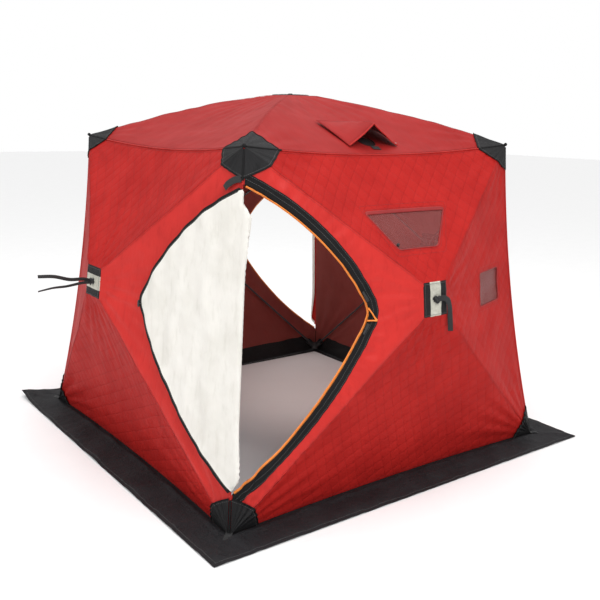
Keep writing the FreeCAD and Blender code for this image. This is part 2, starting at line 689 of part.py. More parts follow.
def slider(rest, centre, turn):
    """Zip slider body over the coil, with its pull tab, at rest beside the turning point."""
    z0 = TRIM + COIL_R + 0.4
    radial = unit(rest - centre)
    along = V(-radial.y, radial.x, 0) * turn
    body = Part.makeBox(SLIDER_L, SLIDER_W, SLIDER_H, V(0, -SLIDER_W / 2, z0))
    body = body.makeFillet(2.0, [e for e in body.Edges if abs(e.tangentAt(0).z) > 0.9])
    tab = Part.makeBox(PULL_L, 8, 1.6, V(SLIDER_L * 0.3, -4, z0 + SLIDER_H))
    shape = body.fuse(tab)
    matrix = FreeCAD.Matrix(along.x, radial.x, 0, rest.x, along.y, radial.y, 0, rest.y, 0, 0, 1, 0, 0, 0, 0, 1)
    shape.transformShape(matrix, True)
    a, u, n, o = door.across, door.up, door.normal, door.origin
    world = FreeCAD.Matrix(a.x, u.x, n.x, o.x, a.y, u.y, n.y, o.y, a.z, u.z, n.z, o.z, 0, 0, 0, 1)
    shape.transformShape(world, True)
    return shape


upper = slider(door.rest_upper, door.c1, 1)
lower = slider(door.rest_lower, door.c2, -1)
save("front_upper_slider", upper)
save("front_lower_slider", lower)
save("back_upper_slider", half_turn(upper))
save("back_lower_slider", half_turn(lower))

closed_flap = door.block(-FLAP_GAP, FLAP_OFF - FLAP_CLOTH / 2, FLAP_OFF + FLAP_CLOTH / 2, 0.0)
diagonal = V(1, 1, 0)
mirror_normal = unit(V(1, -1, 0))
open_flap = closed_flap.mirror(V(0, 0, 0), mirror_normal)
half_corner = door.normal.getAngle(V(door.normal.y, door.normal.x, door.normal.z)) / 2
hinge_out = V(-1, -1, 0).normalize()
hinge_shift = unit(door.normal + V(door.normal.y, door.normal.x, door.normal.z))
hinge_at = door.origin + hinge_shift * (FLAP_OFF / hinge_shift.dot(door.normal))
save("front_door_flap", open_flap)
save("back_door_flap", half_turn(open_flap))

# ---- figures that the record repeats --------------------------------------------------------------
def show(label, v):
    print(label, [round(c / 1000, 6) for c in v])


for name, face in faces.items():
    show(name + " out", face.out * 1000)
    show(name + " hub", face.at(0, 0, face.pivot_z()))
    print(name, "travel m", round(-2 * (face.pivot_z() + TIP_DEPTH) / 1000, 5))
    for i in range(4):
        a, b = face.pole_path(i)
        world = face.at(a.x, a.y, a.z)
        d = face.local_direction(i)
        side = Z.cross(d)
        show(name + " pivot " + str(i), world)
        show(name + " pivot axis " + str(i), (face.across * side.x + face.up * side.y) * 1000)
        print(name, "pole angle", i, round(math.degrees(face.pole_angle(i)), 4), "tip", [round(c, 1) for c in face.at(b.x, b.y, b.z)])
show("door hinge at", hinge_at)
show("door hinge axis", door.up * 1000)
show("door normal", door.normal * 1000)
print("door swing deg", round(360 - (180 - math.degrees(2 * half_corner)), 3))
show("upper slider centre", door.at(door.c1.x, door.c1.y, 0))
show("lower slider centre", door.at(door.c2.x, door.c2.y, 0))
for label, rest, centre in (("upper", door.rest_upper, door.c1), ("lower", door.rest_lower, door.c2)):
    a0 = math.degrees(math.atan2(rest.y - centre.y, rest.x - centre.x))
    stop = math.degrees(math.acos((70.0 - centre.x) / (rest - centre).Length))
    print(label, "slider angle", round(a0, 3), "end of run", round(stop, 3), "radius", round((rest - centre).Length, 1))
show("roof over the vent", roof_point(vent_mid, vent_y))
print("nodes", len([f for f in os.listdir("parts") if f.endswith(".step")]))
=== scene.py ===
"""Looks of a pop-up hub shelter for ice fishing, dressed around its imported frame."""
from __future__ import annotations

import logging
import math
from dataclasses import dataclass, field
from enum import Enum
from typing import Any, Sequence

import bpy
import numpy as np
from mathutils import Matrix, Vector, geometry

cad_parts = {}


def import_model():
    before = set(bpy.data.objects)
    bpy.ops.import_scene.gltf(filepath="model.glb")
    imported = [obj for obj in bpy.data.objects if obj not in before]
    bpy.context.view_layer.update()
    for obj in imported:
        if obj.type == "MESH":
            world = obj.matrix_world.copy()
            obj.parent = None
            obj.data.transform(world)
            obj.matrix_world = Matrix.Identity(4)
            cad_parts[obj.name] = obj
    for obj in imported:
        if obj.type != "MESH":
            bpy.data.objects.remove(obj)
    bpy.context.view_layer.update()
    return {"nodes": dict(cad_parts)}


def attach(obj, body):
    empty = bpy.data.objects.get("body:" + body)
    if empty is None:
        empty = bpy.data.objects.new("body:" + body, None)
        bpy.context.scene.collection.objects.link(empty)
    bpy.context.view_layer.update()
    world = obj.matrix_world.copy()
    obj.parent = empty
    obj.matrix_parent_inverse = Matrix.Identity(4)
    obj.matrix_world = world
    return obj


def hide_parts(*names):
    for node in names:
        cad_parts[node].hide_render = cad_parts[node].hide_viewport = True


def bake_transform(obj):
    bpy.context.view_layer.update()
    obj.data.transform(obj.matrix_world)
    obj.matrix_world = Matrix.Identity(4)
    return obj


LOG = logging.getLogger("shelter")
Array = np.ndarray
Colour = tuple[float, float, float]
FIXED = "shelter"
CORNERS = ((-1, -1), (1, -1), (1, 1), (-1, 1))


# ---- node trees -----------------------------------------------------------------------------------
class Val:
    """A number socket that adds its own Math nodes when it is used in an expression."""

    def __init__(self, net: "Net", socket: bpy.types.NodeSocket) -> None:
        """Wrap a socket of a net."""
        self.net = net
        self.socket = socket

    def op(self, operation: str, *others: Any) -> "Val":
        """Add one Math node.

        Args:
            operation: the Math node's operation.
            others: the operands after this one.

        Returns:
            The node's result.
        """
        return self.net.math(operation, self, *others)

    def __add__(self, other: Any) -> "Val":
        """This value plus another."""
        return self.op("ADD", other)

    def __radd__(self, other: Any) -> "Val":
        """Another value plus this one."""
        return self.net.math("ADD", other, self)

    def __sub__(self, other: Any) -> "Val":
        """This value less another."""
        return self.op("SUBTRACT", other)

    def __rsub__(self, other: Any) -> "Val":
        """Another value less this one."""
        return self.net.math("SUBTRACT", other, self)

    def __mul__(self, other: Any) -> "Val":
        """This value times another."""
        return self.op("MULTIPLY", other)

    def __rmul__(self, other: Any) -> "Val":
        """Another value times this one."""
        return self.net.math("MULTIPLY", other, self)

    def __truediv__(self, other: Any) -> "Val":
        """This value divided by another."""
        return self.op("DIVIDE", other)

    def __rtruediv__(self, other: Any) -> "Val":
        """Another value divided by this one."""
        return self.net.math("DIVIDE", other, self)

    def __pow__(self, other: Any) -> "Val":
        """This value to a power."""
        return self.op("POWER", other)

    def __neg__(self) -> "Val":
        """This value turned negative."""
        return self.op("MULTIPLY", -1.0)

    def __abs__(self) -> "Val":
        """This value's size."""
        return self.op("ABSOLUTE")

    def fract(self) -> "Val":
        """The part after the point."""
        return self.op("FRACT")

    def sin(self) -> "Val":
        """The sine, in radians."""
        return self.op("SINE")

    def most(self, other: Any) -> "Val":
        """The larger of this and another."""
        return self.op("MAXIMUM", other)

    def ramp(self, low: float, high: float) -> "Val":
        """Smooth step from 0 at low to 1 at high."""
        node = self.net.node("ShaderNodeMapRange", {"interpolation_type": "SMOOTHSTEP"},
                             {"Value": self, "From Min": low, "From Max": high})
        return Val(self.net, node.outputs["Result"])


class Net:
    """A node tree with one way to add a node."""

    def __init__(self, tree: bpy.types.NodeTree) -> None:
        """Wrap an empty tree."""
        self.tree = tree

    def node(self, kind: str, settings: dict[str, Any] | None = None,
             values: dict[Any, Any] | None = None) -> bpy.types.Node:
        """Add a node.

        Args:
            kind: the node's type.
            settings: its properties, set first.
            values: numbers or links for its sockets, by name or number.

        Returns:
            The node.
        """
        made = self.tree.nodes.new(kind)
        for name, value in (settings or {}).items():
            setattr(made, name, value)
        for key, value in (values or {}).items():
            socket = made.inputs[key]
            if isinstance(value, Val):
                value = value.socket
            if isinstance(value, bpy.types.NodeSocket):
                self.tree.links.new(value, socket)
            else:
                socket.default_value = value
        return made

    def math(self, operation: str, *operands: Any) -> Val:
        """Add a Math node on numbers or values."""
        made = self.node("ShaderNodeMath", {"operation": operation}, dict(enumerate(operands)))
        return Val(self, made.outputs[0])

    def noise(self, vector: Any, scale: float, detail: float = 2.0, rough: float = 0.5) -> Val:
        """Smooth noise from 0 to 1 at a scale in cycles a metre."""
        made = self.node("ShaderNodeTexNoise", {"noise_dimensions": "3D"},
                         {"Vector": vector, "Scale": scale, "Detail": detail, "Roughness": rough})
        return Val(self, made.outputs["Fac"])

    def blend(self, factor: Any, first: Any, second: Any) -> bpy.types.NodeSocket:
        """Mix two colours by a factor."""
        made = self.node("ShaderNodeMix", {"data_type": "RGBA"}, {"Factor": factor})
        for socket, value in ((made.inputs[6], first), (made.inputs[7], second)):
            if isinstance(value, bpy.types.NodeSocket):
                self.tree.links.new(value, socket)
            else:
                socket.default_value = (*value, 1.0)
        return made.outputs[2]

    def split(self, vector: Any) -> tuple[Val, Val, Val]:
        """The three parts of a vector."""
        made = self.node("ShaderNodeSeparateXYZ", None, {0: vector})
        return Val(self, made.outputs[0]), Val(self, made.outputs[1]), Val(self, made.outputs[2])


# ---- finishes -------------------------------------------------------------------------------------
class Weave(Enum):
    """Small-scale structure of a finish."""

    QUILT = "diamond quilting over a fine plain weave"
    SATIN = "plain weave with long crinkles"
    RIB = "ribbed webbing"
    PLAIN = "plain weave"
    CRUSH = "crushed sheet"
    GRAIN = "moulded grain"
    BRUSHED = "drawn along the part"
    NET = "open net"


@dataclass(frozen=True)
class Finish:
    """One finish: its colour, gloss and small-scale structure."""

    name: str
    slot: str
    colour: Colour
    shade: Colour
    weave: Weave
    rough: tuple[float, float] = (0.5, 0.7)
    pitch: float = 0.002
    depth: float = 0.0004
    blotch: float = 6.0
    metallic: float = 0.0
    sheen: float = 0.0
    coat: float = 0.0
    gloss: float = 0.5
    glow: float = 0.0
    glow_colour: Colour = (0.6, 0.03, 0.03)
    alpha: float = 1.0
    on_uv: bool = False

    def structure(self, net: Net, place: bpy.types.NodeSocket) -> tuple[Val, Val]:
        """Height of the small-scale structure, and a mask of the painted shade, painted sheen and grain that go with
        it.

        Args:
            net: the material's net.
            place: coordinates in metres.

        Returns:
            Height from 0 to 1, and a mask that is 1 where the second colour goes: painted shade (with some dirt in the
            quilting lines) in the quilting lines, creases and weave hollows of the cloths, painted sheen on the creases
            where the second colour is lighter, and grain, brushing and the net's pattern on the other finishes.
        """
        x, y, z = net.split(place)
        turn = 2 * math.pi / self.pitch
        fine = net.noise(place, 900.0, 1.0)
        if self.weave is Weave.QUILT:
            cell = 0.047
            wander = (net.noise(place, 5.0) - 0.5) * 0.16
            a = ((x + y) / (cell * math.sqrt(2.0)) + wander).fract()
            b = ((x - y) / (cell * math.sqrt(2.0)) + wander).fract()
            pillow = ((a * (1.0 - a) * 4.0) ** 0.3) * ((b * (1.0 - b) * 4.0) ** 0.3)
            crease = net.noise(place, 34.0, 3.0, 0.62)
            # Quilting lines between the pillows take the second colour: painted shade in the stitched hollows, with
            # some dirt.
            line = 1.0 - pillow.ramp(0.16, 0.62)
            return pillow * 0.55 + crease * 0.5 + fine * 0.03, line
        if self.weave is Weave.SATIN:
            long = net.node("ShaderNodeMapping", None, {"Vector": place, "Scale": (1.0, 0.24, 1.0)})
            crease = net.noise(long.outputs[0], 42.0, 3.0, 0.6)
            soft = net.noise(place, 16.0, 2.0, 0.55)
            # The mask marks the low sides of the crinkles: painted shade.
            return crease * 0.62 + soft * 0.4 + fine * 0.03, 1.0 - crease.ramp(0.3, 0.5)
        if self.weave is Weave.RIB:
            ribs = ((x + y) * turn).sin() * ((z + (x - y) * 0.5) * turn * 0.7).sin()
            # The mask marks the hollows between the ribs: painted shade.
            return ribs * 0.5 + 0.5 + fine * 0.3, 1.0 - (ribs + fine).ramp(-0.4, 0.9)
        if self.weave is Weave.PLAIN:
            ribs = (x * turn).sin() * (y * turn).sin() + (z * turn).sin() * 0.5
            crease = net.noise(place, 26.0, 3.0, 0.6)
            # The mask marks the low sides of the creases: painted shade.
            return ribs * 0.12 + crease * 0.8 + fine * 0.1, 1.0 - crease.ramp(0.3, 0.6)
        if self.weave is Weave.CRUSH:
            sharp = net.noise(place, 30.0, 4.0, 0.68)
            ridge = 1.0 - abs(sharp - 0.5) * 5.0
            broad = net.noise(place, 9.0, 2.0)
            # The mask marks the crease lines: painted shade where the second colour is darker, painted sheen where it
            # is lighter.
            return ridge.most(0.0) * 0.35 + sharp * 0.7 + broad * 0.6, ridge.ramp(0.4, 1.0)
        if self.weave is Weave.BRUSHED:
            drawn = net.node("ShaderNodeMapping", None, {"Vector": place, "Scale": (1.0, 1.0, 0.1)})
            lines = net.noise(drawn.outputs[0], 700.0, 2.0)
            return lines, 1.0 - lines.ramp(0.3, 0.6)
        if self.weave is Weave.NET:
            holes = (x * turn).sin() * (y * turn).sin()
            return holes * 0.5 + 0.5, holes.ramp(0.1, 0.5)
        grain = net.noise(place, 420.0, 3.0, 0.6)
        return grain, grain.ramp(0.45, 0.7)

    def build(self) -> bpy.types.Material:
        """Make the material, or return it if it is made already."""
        found = bpy.data.materials.get(self.name)
        if found is not None:
            return found
        made = bpy.data.materials.new(self.name)
        made.use_nodes = True
        made.node_tree.nodes.clear()
        net = Net(made.node_tree)
        source = net.node("ShaderNodeTexCoord")
        place = source.outputs["UV" if self.on_uv else "Object"]
        height, painted_shade_and_grain = self.structure(net, place)
        cloud = net.noise(source.outputs["Object"], self.blotch, 3.0, 0.6)
        # Second colour mixed in over random blotches of tone, and over the structure mask, which paints shade into
        # creases and hollows (sheen where the second colour is lighter).
        mixed = net.blend(cloud.ramp(0.3, 0.72) * 0.55 + painted_shade_and_grain * 0.38, self.colour, self.shade)
        bump = net.node("ShaderNodeBump", None, {"Strength": 1.0, "Distance": self.depth, "Height": height})
        low, high = self.rough
        shader = net.node("ShaderNodeBsdfPrincipled", None, {
            "Base Color": mixed, "Roughness": cloud * (high - low) + low, "Metallic": self.metallic,
            "Normal": bump.outputs[0], "Sheen Weight": self.sheen, "Sheen Roughness": 0.45,
            "Specular IOR Level": self.gloss, "Coat Weight": self.coat, "Coat Roughness": 0.3, "Alpha": self.alpha})
        shown = shader.outputs[0]
        if self.glow > 0:
            through = net.node("ShaderNodeBsdfTranslucent", None,
                               {"Color": (*self.glow_colour, 1.0), "Normal": bump.outputs[0]})
            both = net.node("ShaderNodeMixShader", None, {0: self.glow, 1: shown, 2: through.outputs[0]})
            shown = both.outputs[0]
        net.node("ShaderNodeOutputMaterial", None, {"Surface": shown})
        made.diffuse_color = (*self.colour, 1.0)
        return made


RED = (0.43, 0.017, 0.014)
# DEEP, the quilted cloth's second red, goes into random blotches of tone and into the quilting lines and creases as
# painted shade with some dirt.
DEEP = (0.31, 0.010, 0.009)
QUILTED = Finish("quilted_red_cloth", "red_wall", RED, DEEP, Weave.QUILT, (0.46, 0.62), depth=0.0042,
                 gloss=0.08, glow=0.05, on_uv=True)
# Brighter red than the quilted panels, in the same red_wall slot: partly a smoother satin cloth, partly painted light
# on the door-side panels that face the lamps.
SATIN = Finish("door_side_red_cloth", "red_wall", (0.57, 0.028, 0.023), (0.45, 0.019, 0.016), Weave.SATIN,
               (0.34, 0.52), depth=0.0036, gloss=0.18, sheen=0.02, glow=0.05, on_uv=True)
ROOFING = Finish("roof_red_cloth", "roof_red", (0.33, 0.014, 0.013), (0.26, 0.010, 0.009), Weave.SATIN,
                 (0.50, 0.68), depth=0.0028, gloss=0.12, sheen=0.02, glow=0.05, on_uv=True)
INSIDE = Finish("inner_red_lining", "red_wall", (0.30, 0.085, 0.072), (0.22, 0.055, 0.048), Weave.SATIN,
                (0.55, 0.75), depth=0.003, gloss=0.2, glow=0.45, glow_colour=(0.6, 0.13, 0.11), on_uv=True)
WHITE = Finish("white_quilt_lining", "lining", (0.80, 0.78, 0.73), (0.66, 0.64, 0.58), Weave.SATIN,
               (0.5, 0.68), depth=0.003, sheen=0.1, glow=0.1, glow_colour=(0.7, 0.66, 0.6), on_uv=True)
BLACK = Finish("black_oxford_cloth", "black_cloth", (0.011, 0.0105, 0.0115), (0.006, 0.006, 0.0065), Weave.RIB,
               (0.5, 0.72), pitch=0.0018, depth=0.0005, gloss=0.25)
TAPE = Finish("black_zip_tape", "zip", (0.008, 0.0075, 0.008), (0.005, 0.005, 0.0055), Weave.RIB, (0.6, 0.8),
              pitch=0.0015, depth=0.0005, gloss=0.2)
WEBBING = Finish("black_webbing", "webbing", (0.010, 0.0095, 0.010), (0.006, 0.006, 0.0065), Weave.RIB,
                 (0.5, 0.7), pitch=0.0022, depth=0.0008, sheen=0.05)
# Its second colour is lighter than its first, so the crease lines of the skirt carry painted sheen.
SKIRTING = Finish("black_skirt_sheet", "skirt", (0.010, 0.0095, 0.011), (0.017, 0.016, 0.018), Weave.CRUSH,
                  (0.58, 0.78), depth=0.007, gloss=0.22)
# Its second colour is darker, so the crinkle lines of the band carry painted shade.
REFLECT = Finish("crinkled_reflective_band", "patch", (0.56, 0.55, 0.47), (0.38, 0.37, 0.31), Weave.CRUSH,
                 (0.32, 0.5), depth=0.003, blotch=40.0)
# Its second colour is lighter, so the crinkle lines of the pane carry a painted highlight.
CLEAR = Finish("clear_window_vinyl", "clear_vinyl", (0.23, 0.045, 0.043), (0.28, 0.065, 0.062), Weave.CRUSH,
               (0.16, 0.3), depth=0.002, gloss=0.35, alpha=0.42)
NETTING = Finish("dark_vent_net", "mesh", (0.03, 0.012, 0.012), (0.008, 0.006, 0.006), Weave.NET, (0.6, 0.8),
                 pitch=0.003, depth=0.0006)
ORANGE = Finish("orange_zip_coil", "zip", (0.86, 0.27, 0.035), (0.66, 0.17, 0.02), Weave.GRAIN, (0.35, 0.5),
                depth=0.0003)
THREAD_RED = Finish("dark_red_thread", "red_wall", (0.30, 0.012, 0.012), (0.22, 0.009, 0.009), Weave.GRAIN,
                    (0.5, 0.7), depth=0.0002)
THREAD_GREY = Finish("grey_thread", "webbing", (0.10, 0.10, 0.10), (0.07, 0.07, 0.07), Weave.GRAIN,
                     (0.5, 0.7), depth=0.0002)
HUB = Finish("black_hub_nylon", "hub_plastic", (0.018, 0.018, 0.019), (0.03, 0.03, 0.031), Weave.GRAIN,
             (0.36, 0.52), depth=0.0004)
ROD = Finish("dark_fibreglass_rod", "fibreglass", (0.025, 0.025, 0.027), (0.05, 0.05, 0.052), Weave.BRUSHED,
             (0.28, 0.42), depth=0.0001, coat=0.3)
STEEL = Finish("zinc_pin_steel", "pin_steel", (0.62, 0.62, 0.61), (0.45, 0.45, 0.45), Weave.BRUSHED,
               (0.22, 0.36), depth=0.0001, metallic=1.0)
EYELET = Finish("dull_eyelet_metal", "eyelet_metal", (0.42, 0.42, 0.41), (0.28, 0.28, 0.28), Weave.BRUSHED,
                (0.3, 0.45), depth=0.0001, metallic=1.0)
SLIDER = Finish("black_slider_metal", "slider_metal", (0.045, 0.045, 0.048), (0.09, 0.09, 0.09), Weave.GRAIN,
                (0.28, 0.42), depth=0.0001, metallic=0.8)
POCKET = Finish("black_moulded_pocket", "pocket", (0.014, 0.014, 0.015), (0.026, 0.026, 0.027), Weave.GRAIN,
                (0.45, 0.62), depth=0.0005)
FLOOR = Finish("pale_studio_floor", "", (0.86, 0.86, 0.86), (0.84, 0.84, 0.84), Weave.GRAIN, (0.7, 0.8),
               depth=0.0001)


# ---- shapes ---------------------------------------------------------------------------------------
def unit(v: Array) -> Array:
    """A vector scaled to length 1."""
    return v / np.linalg.norm(v)


def smooth(x: Any, low: float, high: float) -> Any:
    """Smooth step from 0 at low to 1 at high."""
    t = np.clip((np.asarray(x, float) - low) / (high - low), 0, 1)
    return t * t * (3 - 2 * t)


def walk(points: Array, count: int) -> Array:
    """Points evenly spaced along a polyline.

    Args:
        points: the polyline.
        count: how many points to return.

    Returns:
        The points, with both ends.
    """
    steps = np.r_[0, np.cumsum(np.linalg.norm(np.diff(points, axis=0), axis=1))]
    at = np.linspace(0, steps[-1], count)
    return np.stack([np.interp(at, steps, points[:, k]) for k in range(points.shape[1])], axis=1)


def nearest(points: Array, line: Array, closed: bool = True) -> tuple[Array, Array]:
    """Distance from points to a polyline, and how far along it the nearest place is.

    Args:
        points: N by 2 points.
        line: M by 2 corners.
        closed: whether the last corner joins the first.

    Returns:
        Distances and lengths along the line, in metres.
    """
    a = line if closed else line[:-1]
    b = np.roll(line, -1, axis=0) if closed else line[1:]
    d = b - a
    size = np.maximum((d ** 2).sum(1), 1e-12)
    t = np.clip(((points[:, None, :] - a[None]) * d[None]).sum(2) / size, 0, 1)
    gap = points[:, None, :] - (a[None] + t[..., None] * d[None])
    far = np.sqrt((gap ** 2).sum(2))
    best = far.argmin(1)
    start = np.r_[0, np.cumsum(np.sqrt(size))][:-1]
    rows = np.arange(len(points))
    return far[rows, best], start[best] + t[rows, best] * np.sqrt(size)[best]


def inside(points: Array, ring: Array) -> Array:
    """Which of N by 2 points lie inside a closed ring."""
    x, y = points[:, 0][:, None], points[:, 1][:, None]
    a, b = ring, np.roll(ring, -1, axis=0)
    crosses = (a[:, 1] > y) != (b[:, 1] > y)
    slope = np.where(np.abs(b[:, 1] - a[:, 1]) < 1e-12, 1e-12, b[:, 1] - a[:, 1])
    at = a[:, 0] + (y - a[:, 1]) * (b[:, 0] - a[:, 0]) / slope
    return (np.logical_and(crosses, x < at).sum(1) % 2) == 1


@dataclass
class Sheet2D:
    """A flat cut of cloth: its outline, its openings and lines that its triangles keep to."""

    outline: Array
    holes: list[Array] = field(default_factory=list)
    lines: list[Array] = field(default_factory=list)
    pitch: float = 0.014

    def mesh(self) -> tuple[Array, Array]:
        """Triangulate the cut.

        Returns:
            Points, and triangles that turn anticlockwise.
        """
        low, high = self.outline.min(0), self.outline.max(0)
        rows = np.arange(low[1], high[1], self.pitch * 0.87)
        grid = [np.stack([np.arange(low[0] + (k % 2) * self.pitch / 2, high[0], self.pitch),
                          np.full(len(np.arange(low[0] + (k % 2) * self.pitch / 2, high[0], self.pitch)), y)], 1)
                for k, y in enumerate(rows)]
        free = np.concatenate(grid)
        keep = inside(free, self.outline) & (nearest(free, self.outline)[0] > self.pitch * 0.55)
        for hole in self.holes:
            keep &= ~inside(free, hole) & (nearest(free, hole)[0] > self.pitch * 0.55)
        for line in self.lines:
            keep &= nearest(free, line, False)[0] > self.pitch * 0.5
        free = free[keep]
        points, edges = [], []
        for ring, closed in [(self.outline, True)] + [(h, True) for h in self.holes] + [(x, False) for x in self.lines]:
            first = len(points)
            points += [tuple(p) for p in ring]
            edges += [(first + k, first + k + 1) for k in range(len(ring) - 1)]
            if closed:
                edges.append((first + len(ring) - 1, first))
        points += [tuple(p) for p in free]
        made, _, faces, _, _, _ = geometry.delaunay_2d_cdt([Vector(p) for p in points], edges, [], 0, 1e-6)
        flat = np.array([tuple(p) for p in made], float)
        tris = np.array([f for f in faces if len(f) == 3], int)
        middle = flat[tris].mean(1)
        good = inside(middle, self.outline)
        for hole in self.holes:
            good &= ~inside(middle, hole)
        tris = tris[good]
        e1, e2 = flat[tris[:, 1]] - flat[tris[:, 0]], flat[tris[:, 2]] - flat[tris[:, 0]]
        area = e1[:, 0] * e2[:, 1] - e1[:, 1] * e2[:, 0]
        tris = tris[np.abs(area) > 1e-10]
        area = area[np.abs(area) > 1e-10]
        tris[area < 0] = tris[area < 0][:, ::-1]
        used = np.unique(tris)
        index = np.zeros(len(flat), int)
        index[used] = np.arange(len(used))
        return flat[used], index[tris]


def grid_faces(rows: int, cols: int, ring: bool = False) -> list[tuple[int, ...]]:
    """Quads over a grid of points, numbered row by row; ring joins the last column to the first."""
    faces = []
    for r in range(rows - 1):
        for c in range(cols if ring else cols - 1):
            d = (c + 1) % cols
            faces.append((r * cols + c, r * cols + d, (r + 1) * cols + d, (r + 1) * cols + c))
    return faces


def solid(name: str, points: Array, faces: Sequence[Sequence[int]], materials: Sequence[Finish],
          ids: Sequence[int] | None = None, uv: Array | None = None, sharp: float = 50.0) -> bpy.types.Object:
    """Make an object from points and faces.

    Args:
        name: the piece's name.
        points: N by 3 points in metres.
        faces: rows of point numbers.
        materials: its finishes.
        ids: which finish each face has.
        uv: N by 2 coordinates on the cloth.
        sharp: edges that turn by more degrees than this stay crisp.

    Returns:
        The object, linked to the scene.
    """
    mesh = bpy.data.meshes.new(name)
    mesh.from_pydata([tuple(map(float, p)) for p in points], [], [tuple(map(int, f)) for f in faces])
    for finish in materials:
        mesh.materials.append(finish.build())
    mesh.polygons.foreach_set("use_smooth", [True] * len(mesh.polygons))
    if ids is not None:
        mesh.polygons.foreach_set("material_index", np.asarray(ids, np.int32))
    if uv is not None:
        layer = mesh.uv_layers.new(name="cloth")
        loops = np.zeros(len(mesh.loops), np.int32)
        mesh.loops.foreach_get("vertex_index", loops)
        layer.data.foreach_set("uv", np.asarray(uv, np.float32)[loops].ravel())
    mesh.update()
    mesh.set_sharp_from_angle(angle=math.radians(sharp))
    made = bpy.data.objects.new(name, mesh)
    bpy.context.scene.collection.objects.link(made)
    return made


def shell(name: str, top: Array, faces: Sequence[Sequence[int]], drop: Array, outer: Sequence[Finish],
          inner: Finish | None = None, ids: Sequence[int] | None = None, under: Sequence[int] | None = None,
          uv: Array | None = None, sharp: float = 50.0) -> bpy.types.Object:
    """Give a sheet its thickness.

    Args:
        name: the piece's name.
        top: its outer points.
        faces: its outer faces, anticlockwise from outside.
        drop: from the outer points to the inner ones.
        outer: finishes of the outer faces.
        inner: finish of the inner faces, or None for the outer one.
        ids: which outer finish each face has.
        under: which finish each inner face has, counted after the outer ones.
        uv: coordinates on the cloth.
        sharp: edges that turn by more degrees than this stay crisp.

    Returns:
        The closed piece.
    """
    count = len(top)
    points = np.concatenate([top, top + drop])
    edges: dict[tuple[int, int], int] = {}
    for number, face in enumerate(faces):
        for a, b in zip(face, list(face[1:]) + [face[0]]):
            edges[(int(a), int(b))] = number
    ids = list(ids) if ids is not None else [0] * len(faces)
    finishes = list(outer) + ([inner] if inner else [])
    back = len(outer) if inner else 0
    every = [tuple(f) for f in faces] + [tuple(int(k) + count for k in reversed(f)) for f in faces]
    marks = list(ids) + ([under[k] for k in range(len(faces))] if under is not None
                         else [back if inner else i for i in ids])
    for (a, b), number in edges.items():
        if (b, a) not in edges:
            every.append((b, a, a + count, b + count))
            marks.append(ids[number])
    return solid(name, points, every, finishes, marks, None if uv is None else np.concatenate([uv, uv]), sharp)


def tube(path: Array, radius: float | Array, sides: int = 8, flat: float = 1.0, closed: bool = False,
         up: Array | None = None) -> tuple[Array, list[tuple[int, ...]]]:
    """Points and faces of a tube along a path.

    Args:
        path: N by 3 points.
        radius: its radius, or one for each point.
        sides: how many sides it has.
        flat: height as a share of width.
        closed: whether the path is a loop.
        up: the side that the flattening faces.

    Returns:
        Points and faces.
    """
    count = len(path)
    along = np.roll(path, -1, 0) - np.roll(path, 1, 0)
    if not closed:
        along[0], along[-1] = path[1] - path[0], path[-1] - path[-2]
    along /= np.linalg.norm(along, axis=1)[:, None]
    guide = np.array(up if up is not None else (0.31, 0.2, 0.93), float)
    rings = []
    radius = np.broadcast_to(np.asarray(radius, float), (count,))
    for k in range(count):
        lift = unit(guide - along[k] * guide.dot(along[k]))
        side = np.cross(along[k], lift)
        angle = np.linspace(0, 2 * math.pi, sides, endpoint=False)
        rings.append(path[k] + radius[k] * (np.cos(angle)[:, None] * side + flat * np.sin(angle)[:, None] * lift))
    points = np.concatenate(rings)
    faces = grid_faces(count, sides, ring=True)
    if closed:
        last = (count - 1) * sides
        faces += [(last + c, last + (c + 1) % sides, (c + 1) % sides, c) for c in range(sides)]
    else:
        faces += [tuple(range(sides - 1, -1, -1)), tuple((count - 1) * sides + k for k in range(sides))]
    return points, faces


def join(parts: Sequence[tuple[Array, Sequence[Sequence[int]]]]) -> tuple[Array, list[tuple[int, ...]], list[int]]:
    """Put several sets of points and faces together.

    Args:
        parts: the sets.

    Returns:
        All points, all faces, and the number of the set that each face came from.
    """
    points, faces, marks, base = [], [], [], 0
    for number, (p, f) in enumerate(parts):
        points.append(np.asarray(p, float))
        faces += [tuple(int(k) + base for k in row) for row in f]
        marks += [number] * len(f)
        base += len(p)
    return np.concatenate(points), faces, marks


def lathe(profile: Sequence[tuple[float, float]], sides: int = 28) -> tuple[Array, list[tuple[int, ...]]]:
    """Turn a profile of (radius, height) pairs about the z axis, with closed ends."""
    rings = []
    for r, h in profile:
        angle = np.linspace(0, 2 * math.pi, sides, endpoint=False)
        rings.append(np.stack([r * np.cos(angle), r * np.sin(angle), np.full(sides, h)], 1))
    faces = grid_faces(len(rings), sides, ring=True)
    faces += [tuple(range(sides - 1, -1, -1)), tuple((len(rings) - 1) * sides + k for k in range(sides))]
    return np.concatenate(rings), faces


# ---- repeated small parts -------------------------------------------------------------------------
class Repeat(Enum):
    """What stands along a path."""

    STITCH = "a stitch that lies along the path"
    TOOTH = "a zip tooth that lies across the path"


